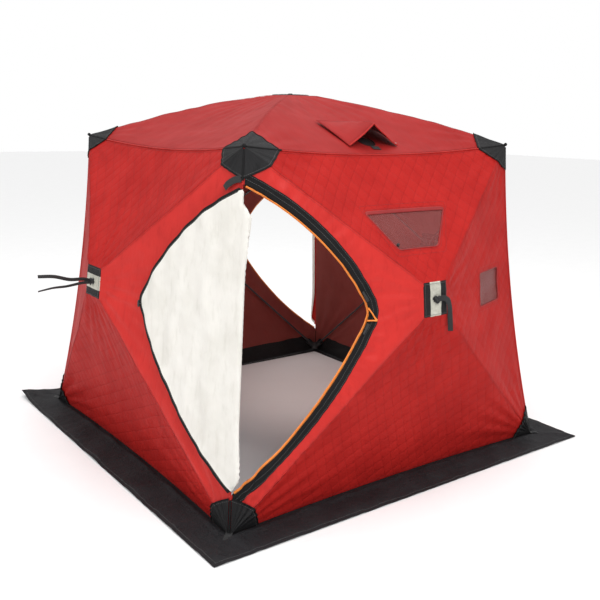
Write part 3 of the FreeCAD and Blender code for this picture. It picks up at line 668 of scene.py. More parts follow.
@dataclass
class AlongPath:
    """Geometry Nodes that set small parts along the edges of a mesh."""

    kind: Repeat
    spacing: float
    length: float
    width: float
    finish: Finish

    def tree(self) -> bpy.types.NodeTree:
        """Build the node tree, with its sizes as named inputs."""
        name = f"{self.kind.name.lower()}_run"
        tree = bpy.data.node_groups.get(name)
        if tree is not None:
            return tree
        tree = bpy.data.node_groups.new(name, "GeometryNodeTree")
        face = tree.interface
        face.new_socket("Geometry", in_out="INPUT", socket_type="NodeSocketGeometry")
        for label in ("Spacing", "Length", "Width"):
            face.new_socket(label, in_out="INPUT", socket_type="NodeSocketFloat")
        face.new_socket("Finish", in_out="INPUT", socket_type="NodeSocketMaterial")
        face.new_socket("Geometry", in_out="OUTPUT", socket_type="NodeSocketGeometry")
        net = Net(tree)
        given = net.node("NodeGroupInput").outputs
        curve = net.node("GeometryNodeMeshToCurve", None, {0: given["Geometry"]})
        points = net.node("GeometryNodeCurveToPoints", {"mode": "LENGTH"},
                          {"Curve": curve.outputs[0], "Length": given["Spacing"]})
        width = Val(net, given["Width"])
        length = Val(net, given["Length"])
        if self.kind is Repeat.STITCH:
            part = net.node("GeometryNodeMeshCylinder", None,
                            {"Vertices": 6, "Radius": width * 0.5, "Depth": length})
            axis = "Z"
        else:
            size = net.node("ShaderNodeCombineXYZ", None, {0: width, 1: length, 2: width * 0.9})
            part = net.node("GeometryNodeMeshCube", None, {"Size": size.outputs[0]})
            axis = "X"
        turn = net.node("FunctionNodeAlignRotationToVector", {"axis": axis}, {"Vector": points.outputs["Tangent"]})
        placed = net.node("GeometryNodeInstanceOnPoints", None, {
            "Points": points.outputs["Points"], "Instance": part.outputs["Mesh"], "Rotation": turn.outputs[0]})
        real = net.node("GeometryNodeRealizeInstances", None, {0: placed.outputs[0]})
        dressed = net.node("GeometryNodeSetMaterial", None,
                           {"Geometry": real.outputs[0], "Material": given["Finish"]})
        net.node("NodeGroupOutput", None, {0: dressed.outputs[0]})
        return tree

    def run(self, name: str, lines: Sequence[Array]) -> bpy.types.Object:
        """Set the parts along polylines and return them as a plain mesh object.

        Args:
            name: the piece's name.
            lines: the polylines, in metres.

        Returns:
            The piece.
        """
        mesh = bpy.data.meshes.new(name + "_path")
        points, edges = [], []
        for line in lines:
            first = len(points)
            points += [tuple(map(float, p)) for p in line]
            edges += [(first + k, first + k + 1) for k in range(len(line) - 1)]
        mesh.from_pydata(points, edges, [])
        carrier = bpy.data.objects.new(name + "_path", mesh)
        bpy.context.scene.collection.objects.link(carrier)
        tree = self.tree()
        modifier = carrier.modifiers.new("run", "NODES")
        modifier.node_group = tree
        sockets = {s.name: s.identifier for s in tree.interface.items_tree if s.in_out == "INPUT"}
        modifier[sockets["Spacing"]] = self.spacing
        modifier[sockets["Length"]] = self.length
        modifier[sockets["Width"]] = self.width
        modifier[sockets["Finish"]] = self.finish.build()
        view = bpy.context.evaluated_depsgraph_get()
        plain = bpy.data.meshes.new_from_object(carrier.evaluated_get(view))
        plain.name = name
        made = bpy.data.objects.new(name, plain)
        bpy.context.scene.collection.objects.link(made)
        bpy.data.objects.remove(carrier)
        return made


def stitches(name: str, lines: Sequence[Array], finish: Finish = THREAD_RED) -> bpy.types.Object:
    """Lay thread along polylines."""
    return AlongPath(Repeat.STITCH, 0.0085, 0.0062, 0.0014, finish).run(name, lines)


# ---- cloth faces ----------------------------------------------------------------------------------
@dataclass(frozen=True)
class Sizes:
    """Sizes of the shelter, in metres, as its maker's drawing has them."""

    base_half: float = 0.900
    top_half: float = 0.734
    corner_height: float = 1.445
    hub_height: float = 0.815
    wall_bulge: float = 0.232
    roof_bulge: float = 0.212
    foot: float = 0.003
    cloth: float = 0.002
    seam_inset: float = 0.003
    seam_bow: float = 0.034
    eave_bow: float = 0.056
    hem_bow: float = 0.028
    roof_pole_bow: float = 0.024
    patch_w: float = 0.122
    patch_l: float = 0.132
    patch_gap: float = 0.002


SIZES = Sizes()


class Ripples:
    """Smooth waves over a plane, the same on every run."""

    def __init__(self, seed: int, low: float, high: float, count: int) -> None:
        """Choose the waves.

        Args:
            seed: starts the choice.
            low: shortest wave, in metres.
            high: longest wave.
            count: how many waves.
        """
        pick = np.random.default_rng(seed)
        angle = pick.uniform(0, 2 * math.pi, count)
        turn = 2 * math.pi / pick.uniform(low, high, count)
        self.waves = np.stack([np.cos(angle) * turn, np.sin(angle) * turn], 0)
        self.start = pick.uniform(0, 2 * math.pi, count)
        self.count = count

    def __call__(self, points: Array) -> Array:
        """Height of the waves, about -1 to 1."""
        return np.sin(points @ self.waves + self.start).sum(1) / math.sqrt(self.count / 2) * 0.6


@dataclass
class Face:
    """One hub face: a wall or the roof, with its cloth surface in its own axes."""

    name: str
    corners: list[Array]
    across: Array
    foot: Array
    bulge: float
    bows: list[Array]
    pole_bow: float = 0.0
    turned: bool = False
    seed: int = 0

    def __post_init__(self) -> None:
        """Work out the axes and the corners in them."""
        self.out = unit(np.cross(self.corners[1] - self.corners[0], self.corners[3] - self.corners[0]))
        self.up = np.cross(self.out, self.across)
        self.axes = np.stack([self.across, self.up, self.out])
        s = SIZES
        self.patch_x = (s.patch_l if self.turned else s.patch_w) / 2
        self.patch_y = (s.patch_w if self.turned else s.patch_l) / 2
        self.cut, self.rim = [], []
        for i, p in enumerate(self.corners):
            a, b = unit(self.corners[(i + 1) % 4] - p), unit(self.corners[(i + 3) % 4] - p)
            self.cut.append(self.local(p + (a + b) * s.seam_inset))
            sx, sy = CORNERS[i]
            self.rim.append(np.array([sx * (self.patch_x + s.patch_gap), sy * (self.patch_y + s.patch_gap),
                                      self.bulge]))
        self.bow = [self.axes @ b for b in self.bows]
        self.broad = Ripples(self.seed * 7 + 1, 0.22, 0.6, 9)
        self.small = Ripples(self.seed * 7 + 2, 0.055, 0.13, 14)
        self.pull = Ripples(self.seed * 7 + 3, 0.10, 0.3, 8)
        self.door: Array | None = None

    @property
    def hub_body(self) -> str:
        """Name of the hub's body."""
        return f"{self.name}_hub_body"

    def local(self, points: Array) -> Array:
        """Points in the face's own axes."""
        return (np.asarray(points, float) - self.foot) @ self.axes.T

    def world(self, points: Array) -> Array:
        """Points given in the face's own axes."""
        return self.foot + np.asarray(points, float) @ self.axes

    def plain(self, i: int, u: Array, v: Array) -> Array:
        """Smooth cloth surface of panel i, in the face's own axes.

        Args:
            i: the panel, between corners i and i + 1.
            u: from corner i to the next.
            v: from the seam to the hub patch.

        Returns:
            N by 3 points.
        """
        j = (i + 1) % 4
        u, v = np.asarray(u, float)[:, None], np.asarray(v, float)[:, None]
        base = (self.cut[i] * (1 - u) + self.cut[j] * u) * (1 - v) + (self.rim[i] * (1 - u) + self.rim[j] * u) * v
        base = base + (1 - v) * 4 * u * (1 - u) * self.bow[i]
        base[:, 2:] += self.pole_bow * 4 * v * (1 - v)
        return base

    def find(self, i: int, xy: Array) -> tuple[Array, Array]:
        """Panel coordinates of points given across and up the face.

        Args:
            i: the panel.
            xy: N by 2 points.

        Returns:
            u and v.
        """
        j = (i + 1) % 4
        a, b, c, d = (p[:2] for p in (self.cut[i], self.cut[j], self.rim[i], self.rim[j]))
        normal = np.array([-(b - a)[1], (b - a)[0]])
        v = ((xy - a) @ normal) / ((c - a) @ normal)
        low, high = a + (c - a) * v[:, None], b + (d - b) * v[:, None]
        u = ((xy - low) * (high - low)).sum(1) / ((high - low) ** 2).sum(1)
        for _ in range(14):
            here = self.plain(i, u, v)[:, :2]
            du = (self.plain(i, u + 1e-4, v)[:, :2] - here) / 1e-4
            dv = (self.plain(i, u, v + 1e-4)[:, :2] - here) / 1e-4
            gap = xy - here
            det = du[:, 0] * dv[:, 1] - du[:, 1] * dv[:, 0]
            det = np.where(np.abs(det) < 1e-9, 1e-9, det)
            u = u + np.clip((gap[:, 0] * dv[:, 1] - gap[:, 1] * dv[:, 0]) / det, -0.2, 0.2)
            v = v + np.clip((du[:, 0] * gap[:, 1] - du[:, 1] * gap[:, 0]) / det, -0.2, 0.2)
        return u, v

    def lift(self, i: int, u: Array, v: Array, xy: Array) -> Array:
        """How far the cloth stands off the smooth surface: billow, creases and puckers.

        Args:
            i: the panel.
            u: across the panel.
            v: up the panel.
            xy: the same points in the face's own axes.

        Returns:
            Heights along the face's outward axis.
        """
        uc, vc = np.clip(u, 0, 1), np.clip(v, 0, 1)
        side = np.clip(4 * uc * (1 - uc), 0, 1)
        billow = -0.011 * side ** 1.5 * (4 * vc * (1 - vc))
        r = np.hypot(xy[:, 0], xy[:, 1])
        angle = np.arctan2(xy[:, 1], xy[:, 0])
        hub = 0.0030 * np.exp(-((r - 0.13) / 0.11) ** 2) * np.sin(21 * angle + 1.2 * np.sin(3 * angle))
        hub = hub + 0.0016 * np.exp(-((r - 0.3) / 0.16) ** 2) * np.sin(33 * angle + 2.0 * np.sin(2 * angle + 1))
        total = billow + hub + 0.0022 * self.broad(xy) + 0.0010 * self.small(xy)
        for k, c in enumerate(self.cut):
            d = xy - c[:2]
            far = np.hypot(d[:, 0], d[:, 1])
            turn = np.arctan2(d[:, 1], d[:, 0])
            low = self.name != "roof" and k in (0, 1)
            size = 0.0042 if low else 0.0022
            reach = 0.30 if low else 0.20
            total = total + size * np.exp(-((far - 0.20) / reach) ** 2) * np.sin((30 if low else 26) * turn + 1.7 * k
                                                                                + 1.5 * np.sin(5 * turn))
        if self.name in ("front", "back"):
            below = np.exp(-(xy[:, 0] / 0.09) ** 2) * np.exp(-((xy[:, 1] + 0.2) / 0.13) ** 2)
            total = total + 0.0032 * below * np.sin(2 * math.pi * xy[:, 0] / 0.034 + 3 * xy[:, 1])
        if self.door is not None:
            far, along = nearest(xy, self.door, False)
            pucker = np.exp(-((far - 0.055) / 0.05) ** 2) * np.where(far < 0.055, 0.25, 1.0)
            wave = np.sin(2 * math.pi * along / 0.043 + 2.2 * self.pull(xy))
            lower = 0.55 + 0.45 * smooth(-xy[:, 1], -0.05, 0.2)
            total = total + 0.0036 * pucker * wave * lower
        hold = smooth(vc, 0.0, 0.07) * smooth(1 - vc, 0.0, 0.05)
        seam = 0.0016 * (1 - smooth(np.minimum(uc, 1 - uc) * (1 - vc), 0.0, 0.006)) * smooth(vc, 0.02, 0.1)
        return total * hold - seam * smooth(1 - vc, 0.0, 0.1)

    def skin(self, i: int, u: Array, v: Array, above: Any = 0.0) -> Array:
        """World points on the creased cloth of panel i, raised by a distance."""
        flat = self.plain(i, u, v)
        flat[:, 2] += self.lift(i, u, v, flat[:, :2]) + above
        return self.world(flat)

    def on_cloth(self, i: int, xy: Array, above: Any = 0.0) -> Array:
        """World points on the creased cloth at places given across and up the face."""
        u, v = self.find(i, xy)
        height = self.plain(i, u, v)[:, 2] + self.lift(i, u, v, xy) + above
        return self.world(np.c_[xy, height])

    def outline(self, i: int, pitch: float = 0.016) -> Array:
        """Edge of panel i across and up the face, in order."""
        j = (i + 1) % 4
        long = max(8, int(np.linalg.norm(self.cut[j] - self.cut[i]) / pitch))
        side = 54
        end = 8
        t, s, e = np.linspace(0, 1, long + 1)[:-1], np.linspace(0, 1, side + 1)[:-1], np.linspace(0, 1, end + 1)[:-1]
        runs = [self.plain(i, t, t * 0), self.plain(i, s * 0 + 1, s), self.plain(i, 1 - e, e * 0 + 1),
                self.plain(i, s * 0, 1 - s)]
        return np.concatenate(runs)[:, :2]

    def hold(self, piece: bpy.types.Object, i: int) -> bpy.types.Object:
        """Bake the placement of a piece on panel i into its mesh; the hub and seam points worked out here go unused."""
        hub = self.foot + self.out * self.bulge
        a, b = self.corners[i], self.corners[(i + 1) % 4]
        line = unit(b - a)
        foot = a + line * (hub - a).dot(line)
        end = foot + (hub - foot) * 1.07
        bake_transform(piece)
        return piece


def make_faces() -> dict[str, Face]:
    """The four walls and the roof."""
    s = SIZES
    slope = (s.base_half - s.top_half) / (s.corner_height - s.foot)
    reach = s.base_half - slope * (s.hub_height - s.foot)

    def base(x: int, y: int) -> Array:
        """A corner at the foot."""
        return np.array([x * s.base_half, y * s.base_half, s.foot])

    def top(x: int, y: int) -> Array:
        """A corner at the eaves."""
        return np.array([x * s.top_half, y * s.top_half, s.corner_height])

    down = np.array([0.0, 0.0, 1.0])
    faces = {}
    sides = (("front", (0, -1)), ("right", (1, 0)), ("back", (0, 1)), ("left", (-1, 0)))
    for seed, (name, (ax, ay)) in enumerate(sides):
        across = np.array([-ay, ax, 0.0])
        start = CORNERS.index((int(ax - across[0]), int(ay - across[1])))
        a, b = CORNERS[start], CORNERS[(start + 1) % 4]
        inward = np.array([-ax, -ay, 0.0])
        bows = [inward * s.hem_bow, np.zeros(3), (inward - down) * (s.eave_bow / math.sqrt(2)), np.zeros(3)]
        for edge, corner in ((1, b), (3, a)):
            if corner[0] != corner[1]:
                bows[edge] = np.array([-corner[0], -corner[1], 0.0]) * (s.seam_bow / math.sqrt(2))
        faces[name] = Face(name, [base(*a), base(*b), top(*b), top(*a)], across,
                           np.array([ax * reach, ay * reach, s.hub_height]), s.wall_bulge, bows,
                           turned=name in ("left", "right"), seed=seed + 1)
    bows = []
    for i in range(4):
        x = (CORNERS[i][0] + CORNERS[(i + 1) % 4][0]) / 2
        y = (CORNERS[i][1] + CORNERS[(i + 1) % 4][1]) / 2
        bows.append((np.array([-x, -y, 0.0]) - down) * (s.eave_bow / math.sqrt(2)))
    faces["roof"] = Face("roof", [top(*c) for c in CORNERS], np.array([1.0, 0.0, 0.0]),
                         np.array([0.0, 0.0, s.corner_height]), s.roof_bulge, bows, s.roof_pole_bow, seed=9)
    return faces


# ---- sub-assemblies -------------------------------------------------------------------------------
def report(piece: bpy.types.Object) -> bpy.types.Object:
    """Log a finished piece."""
    LOG.info("%s: %d faces", piece.name, len(piece.data.polygons))
    return piece


def dress(piece: bpy.types.Object, finish: Finish, *nodes: str) -> bpy.types.Object:
    """Hide the nodes that a piece stands for, if any, and log it."""
    if nodes:
        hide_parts(*nodes)
    return report(piece)


def spread(face: Face, i: int, holes: Sequence[Array] = ()) -> tuple[tuple[float, float], float]:
    """Flat size of a panel's cut: its width and length, and its area less its openings."""
    u, v = np.meshgrid(np.linspace(0, 1, 41), np.linspace(0, 1, 41))
    p = face.plain(i, u.ravel(), v.ravel()).reshape(41, 41, 3)
    a, b = p[1:, :-1] - p[:-1, :-1], p[:-1, 1:] - p[:-1, :-1]
    area = np.linalg.norm(np.cross(a, b), axis=2).sum()
    slope = area / abs(np.cross(a[..., :2], b[..., :2]).sum())
    for hole in holes:
        x, y = hole[:, 0], hole[:, 1]
        area -= abs((x * np.roll(y, -1) - y * np.roll(x, -1)).sum()) / 2 * slope
    width = float(np.linalg.norm(face.cut[(i + 1) % 4] - face.cut[i]))
    length = float(np.linalg.norm(face.plain(i, np.array([0.5]), np.array([1.0]))[0]
                                  - face.plain(i, np.array([0.5]), np.array([0.0]))[0]))
    return (width, min(length, float(area) / (0.31 * width))), float(min(area, width * length))


@dataclass
class Doorway:
    """The D-shaped door of one face: zip tape, coil and the flap folded onto the next wall."""

    face: Face
    flap_face: str
    top: float = 1.309
    foot: float = 0.150
    apex_reach: float = 0.708
    apex_height: float = 0.849
    top_radius: float = 1.111
    low_radius: float = 1.869
    fillet: float = 0.090
    tape: float = 0.044
    gap: float = 0.014
    off: float = 0.0175
    roll: float = 0.0085
    slack: float = 0.075

    def __post_init__(self) -> None:
        """Work out the door's own axes, from the foot of its corner seam."""
        face = self.face
        top, base = face.corners[3], face.corners[0]
        self.up = unit(top - base)
        across = face.foot - face.across * face.patch_x + face.out * face.bulge - base
        self.normal = unit(np.cross(across, self.up))
        self.across = np.cross(self.up, self.normal)
        self.origin = base
        self.scale = np.linalg.norm(top - base) / (SIZES.corner_height - SIZES.foot)
        self.reach = float(across @ self.across)
        if self.normal @ face.out < 0:
            self.normal = -self.normal

    def outline(self, grow: float, edge: float, count: int = 220) -> Array:
        """The opening's edge, from its top at the corner seam to its foot.

        Args:
            grow: how far it is moved outwards.
            edge: how far from the seam it starts and ends.
            count: number of points.

        Returns:
            Points across and up the door's plane.
        """
        def height(z: float) -> float:
            return (z - SIZES.foot) * self.scale

        top, foot = np.array([0, height(self.top)]), np.array([0, height(self.foot)])
        apex = np.array([self.reach * self.apex_reach, height(self.apex_height)])
        rings = []
        for a, b, radius in ((top, apex, self.top_radius), (apex, foot, self.low_radius)):
            chord = b - a
            side = unit(np.array([-chord[1], chord[0]]))
            side = side if side[0] >= 0 else -side
            inward = math.sqrt(radius ** 2 - (np.linalg.norm(chord) / 2) ** 2)
            rings.append(((a + b) / 2 - side * inward, radius + grow))
        (c1, r1), (c2, r2) = rings
        round_off = self.fillet + grow
        d1, d2 = r1 - round_off, r2 - round_off
        line = c2 - c1
        span = np.linalg.norm(line)
        along = (d1 ** 2 - d2 ** 2 + span ** 2) / (2 * span)
        e = line / span
        rise = math.sqrt(d1 ** 2 - along ** 2)
        middle = max((c1 + e * along + np.array([-e[1], e[0]]) * rise * s for s in (1, -1)), key=lambda p: p[0])
        t1, t2 = middle + unit(middle - c1) * round_off, middle + unit(middle - c2) * round_off
        start = np.array([edge, c1[1] + math.sqrt(r1 ** 2 - (edge - c1[0]) ** 2)])
        stop = np.array([edge, c2[1] - math.sqrt(r2 ** 2 - (edge - c2[0]) ** 2)])
        arcs = []
        for centre, a, b in ((c1, start, t1), (middle, t1, t2), (c2, t2, stop)):
            one, two = math.atan2(*(a - centre)[::-1]), math.atan2(*(b - centre)[::-1])
            two += 2 * math.pi * round((one - two) / (2 * math.pi))
            t = np.linspace(one, two, 90)
            arcs.append(centre + np.linalg.norm(a - centre) * np.stack([np.cos(t), np.sin(t)], 1))
        return walk(np.concatenate(arcs), count)

    def on_face(self, flat: Array) -> Array:
        """Points of the door's plane, across and up the face."""
        world = self.origin + flat[:, :1] * self.across + flat[:, 1:2] * self.up
        return self.face.local(world)[:, :2]

    def hole(self) -> Array:
        """The opening as a closed ring across and up the face."""
        return self.on_face(self.outline(0.0, -0.06, 200))

    def trim(self) -> None:
        """Black zip tape round the opening, with its stitching and the orange coil."""
        face, name = self.face, self.face.name
        rows = []
        for grow, above in ((-0.002, 0.0012), (0.004, 0.0042), (0.012, 0.0046), (0.018, 0.0028), (0.030, 0.0026),
                            (0.042, 0.0026), (self.tape - 0.003, 0.0030), (self.tape, 0.0012)):
            rows.append(face.on_cloth(3, self.on_face(self.outline(grow, 0.007)), above))
        points = np.concatenate(rows)
        faces = [tuple(reversed(f)) for f in grid_faces(len(rows), 220)]
        tape = shell(f"{name}_door_tape", points, faces, -face.out * 0.0010, [TAPE], sharp=70)
        face.hold(tape, 3)
        dress(tape, TAPE, "zip_tapes")
        self.tape + 0.006
        mid = walk(face.on_cloth(3, self.on_face(self.outline(-0.0035, 0.012)), 0.0022), 220)
        points, quads = tube(mid, 0.0040, 8, 0.72, up=face.out)
        coil = solid(f"{name}_zip_coil", points, quads, [ORANGE])
        face.hold(coil, 3)
        dress(coil, ORANGE)
        run = AlongPath(Repeat.TOOTH, 0.0052, 0.0098, 0.0030, ORANGE)
        teeth = run.run(f"{name}_zip_teeth", [mid + face.out * 0.0026])
        face.hold(teeth, 3)
        dress(teeth, ORANGE)
        seams = [face.on_cloth(3, self.on_face(self.outline(g, 0.012)), 0.0032) for g in (0.021, self.tape - 0.006)]
        thread = stitches(f"{name}_door_tape_stitches", seams, THREAD_GREY)
        face.hold(thread, 3)
        dress(thread, THREAD_GREY)

    def flap_point(self, flat: Array, above: Array | float) -> Array:
        """World points of the open flap.

        Args:
            flat: across and up the flap's cut; below zero it runs round the fold at the seam.
            above: distance off the flap's middle line.

        Returns:
            The points, mirrored onto the next wall.
        """
        x, y = flat[:, 0], flat[:, 1]
        high, low = self.top - 0.052, self.foot + 0.020
        t = np.clip((y - low) / (high - low), 0, 1)
        bulge = 0.021 + 0.020 * smooth(t, 0.72, 0.95) + 0.014 * smooth(1 - t, 0.75, 1.0)
        bulge = bulge * smooth(t, 0.0, 0.05) * smooth(1 - t, 0.0, 0.05) + 0.004
        r = self.roll
        turn = np.clip((-x - bulge) / r, 0, math.pi)
        over = -x - bulge - math.pi * r
        px = np.where(x > -bulge, x, np.where(over < 0, -bulge - r * np.sin(turn), -bulge + over))
        wave = Ripples(31, 0.09, 0.34, 9)(np.c_[x * 1.7, y]) * 0.0036 + Ripples(32, 0.035, 0.09, 9)(flat) * 0.0006
        belly = 0.010 * smooth(x, -0.02, 0.16) * smooth(0.62 - x, 0.0, 0.25)
        pz = self.off + (wave + belly) * smooth(x, -0.02, 0.05)
        pz = np.where(x > -bulge, pz, self.off - r + r * np.cos(turn))
        nx = np.where(x > -bulge, 0.0, -np.sin(turn))
        nz = np.where(x > -bulge, 1.0, np.cos(turn))
        slack = self.slack * smooth(px, 0.05, 0.55)
        lean = 0.035 * slack / self.slack * smooth(px, 0.1, 0.5) * 0.4
        px, pz = px * (1 - slack) + nx * above, pz + nz * above + lean
        world = self.origin + px[:, None] * self.across + y[:, None] * self.up + pz[:, None] * self.normal
        return world[:, [1, 0, 2]]

    def flap(self) -> None:
        """Door flap folded back, its white lining outwards, with a black edge tape and a toggle."""
        name = self.face.name
        body = f"{name}_door_flap_body"
        arc = self.outline(-self.gap, 0.0, 190)
        back = -0.066
        ring = np.concatenate([arc, walk(np.array([arc[-1], [back, arc[-1][1] + 0.035]]), 6)[1:],
                               walk(np.array([[back, arc[-1][1] + 0.035], [back, arc[0][1] - 0.035]]), 80)[1:-1],
                               walk(np.array([[back, arc[0][1] - 0.035], arc[0]]), 6)[:-1]])
        band = self.outline(-self.gap - 0.014, 0.004, 180)
        cut = Sheet2D(ring, lines=[band], pitch=0.013)
        flat, tris = cut.mesh()
        middle = flat[tris].mean(1)
        edge = nearest(middle, arc, False)[0] < 0.0138
        near = nearest(flat, arc, False)[0]
        raise_by = np.where(near < 0.0142, 0.0013, 0.0)
        top, low = self.flap_point(flat, 0.0012 + raise_by), self.flap_point(flat, -0.0012)
        made = shell(f"{name}_door_flap_cloth", top, tris[:, ::-1], low - top, [WHITE, TAPE], SATIN,
                     ids=edge.astype(int), under=[1 if e else 2 for e in edge], uv=flat, sharp=60)
        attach(made, body)
        dress(made, WHITE, f"{name}_door_flap")
        line = self.flap_point(self.outline(-self.gap - 0.011, 0.004, 300), np.full(300, 0.0029))
        thread = stitches(f"{name}_door_flap_stitches", [line], THREAD_GREY)
        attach(thread, body)
        dress(thread, THREAD_GREY)
        apex = self.outline(-self.gap, 0.0, 191)
        tip = apex[apex[:, 0].argmax()]
        place = self.flap_point(np.array([tip + np.array([-0.006, 0.0])]), 0.006)[0]
        along = unit((self.up)[[1, 0, 2]])
        side = unit(self.across[[1, 0, 2]])
        bar = np.array([place + side * 0.006 - along * 0.014, place + side * 0.008,
                        place + side * 0.006 + along * 0.014])
        loop = np.array([place - side * 0.010, place + side * 0.006, place + side * 0.008])
        p, f, _ = join([tube(walk(bar, 7), np.array([.003, .0042, .0046, .0036, .0046, .0042, .003]), 10),
                        tube(walk(loop, 5), 0.0022, 6)])
        toggle = solid(f"{name}_door_toggle", p, f, [HUB])
        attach(toggle, body)
        dress(toggle, HUB)

    def pulls(self) -> None:
        """Orange cord pulls of the two zip sliders, laid across the tape at the turning point."""
        near, far = self.outline(-0.003, 0.0, 191), self.outline(0.036, 0.0, 191)
        middle = int(near[:, 0].argmax())
        falls = near[-1, 1] < near[0, 1]
        for which, step, lean in (("upper", -3, 4), ("lower", 3, 2)):
            step = step if falls else -step
            a, b = near[middle + step], far[middle + step // 3 + (lean if falls else -lean)]
            path = a + (b - a) * np.linspace(0, 1, 9)[:, None]
            line = self.face.on_cloth(3, self.on_face(path), 0.0105)
            p, f = tube(line, np.array([.0042, .0036, .0032, .0032, .0032, .0032, .0034, .0042, .0044]), 8)
            cord = solid(f"{self.face.name}_{which}_pull_cord", p, f, [ORANGE])
            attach(cord, f"{self.face.name}_{which}_slider_body")
            dress(cord, ORANGE)

    def tie(self) -> None:
        """Short black holding loop on the corner seam above the door."""
        left = self.across[[1, 0, 2]]
        normal = self.normal[[1, 0, 2]]
        start = self.origin + self.up * ((1.327 - SIZES.foot) * self.scale)
        path = np.array([start + normal * 0.004 + left * 0.004, start + left * 0.030 + normal * 0.010 - self.up * 0.004,
                         start + left * 0.060 + normal * 0.014 - self.up * 0.020,
                         start + left * 0.076 + normal * 0.012 - self.up * 0.034])
        curve = walk(spline(path, 20), 18)
        made = ribbon(f"{self.face.name}_door_tie", curve, self.up, 0.026, 0.0022, WEBBING)
        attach(made, FIXED)
        dress(made, WEBBING)


def spline(points: Array, count: int) -> Array:
    """Smooth line through points.

    Args:
        points: the points that it passes.
        count: how many points to return.

    Returns:
        Points on a Catmull-Rom line.
    """
    p = np.concatenate([[2 * points[0] - points[1]], points, [2 * points[-1] - points[-2]]])
    out = []
    for k in range(1, len(p) - 2):
        for t in np.linspace(0, 1, 12, endpoint=False):
            a, b, c, d = p[k - 1], p[k], p[k + 1], p[k + 2]
            out.append(0.5 * (2 * b + (c - a) * t + (2 * a - 5 * b + 4 * c - d) * t ** 2
                              + (3 * b - a - 3 * c + d) * t ** 3))
    out.append(points[-1])
    return walk(np.array(out), count)


def ribbon(name: str, path: Array, wide: Array, width: float, thick: float, finish: Finish,
           twist: float = 0.0) -> bpy.types.Object:
    """Flat webbing along a path.

    Args:
        name: the piece's name.
        path: N by 3 points of its middle line.
        wide: direction of its width.
        width: its width.
        thick: its thickness.
        finish: its finish.
        twist: turn along its length, in radians.

    Returns:
        The piece.
    """
    points = []
    for k, p in enumerate(path):
        along = unit(path[min(k + 1, len(path) - 1)] - path[max(k - 1, 0)])
        side = unit(wide - along * wide.dot(along))
        face = np.cross(along, side)
        a = twist * k / (len(path) - 1)
        side, face = side * math.cos(a) + face * math.sin(a), face * math.cos(a) - side * math.sin(a)
        for s, h in ((-1, 0.35), (-0.9, 1), (-0.4, 0.86), (0.4, 0.86), (0.9, 1), (1, 0.35), (1, -0.35), (0.9, -1),
                     (0.4, -0.86), (-0.4, -0.86), (-0.9, -1), (-1, -0.35)):
            points.append(p + side * s * width / 2 + face * h * thick / 2)
    faces = grid_faces(len(path), 12, ring=True)
    faces += [tuple(range(11, -1, -1)), tuple((len(path) - 1) * 12 + k for k in range(12))]
    return solid(name, np.array(points), faces, [finish], sharp=60)


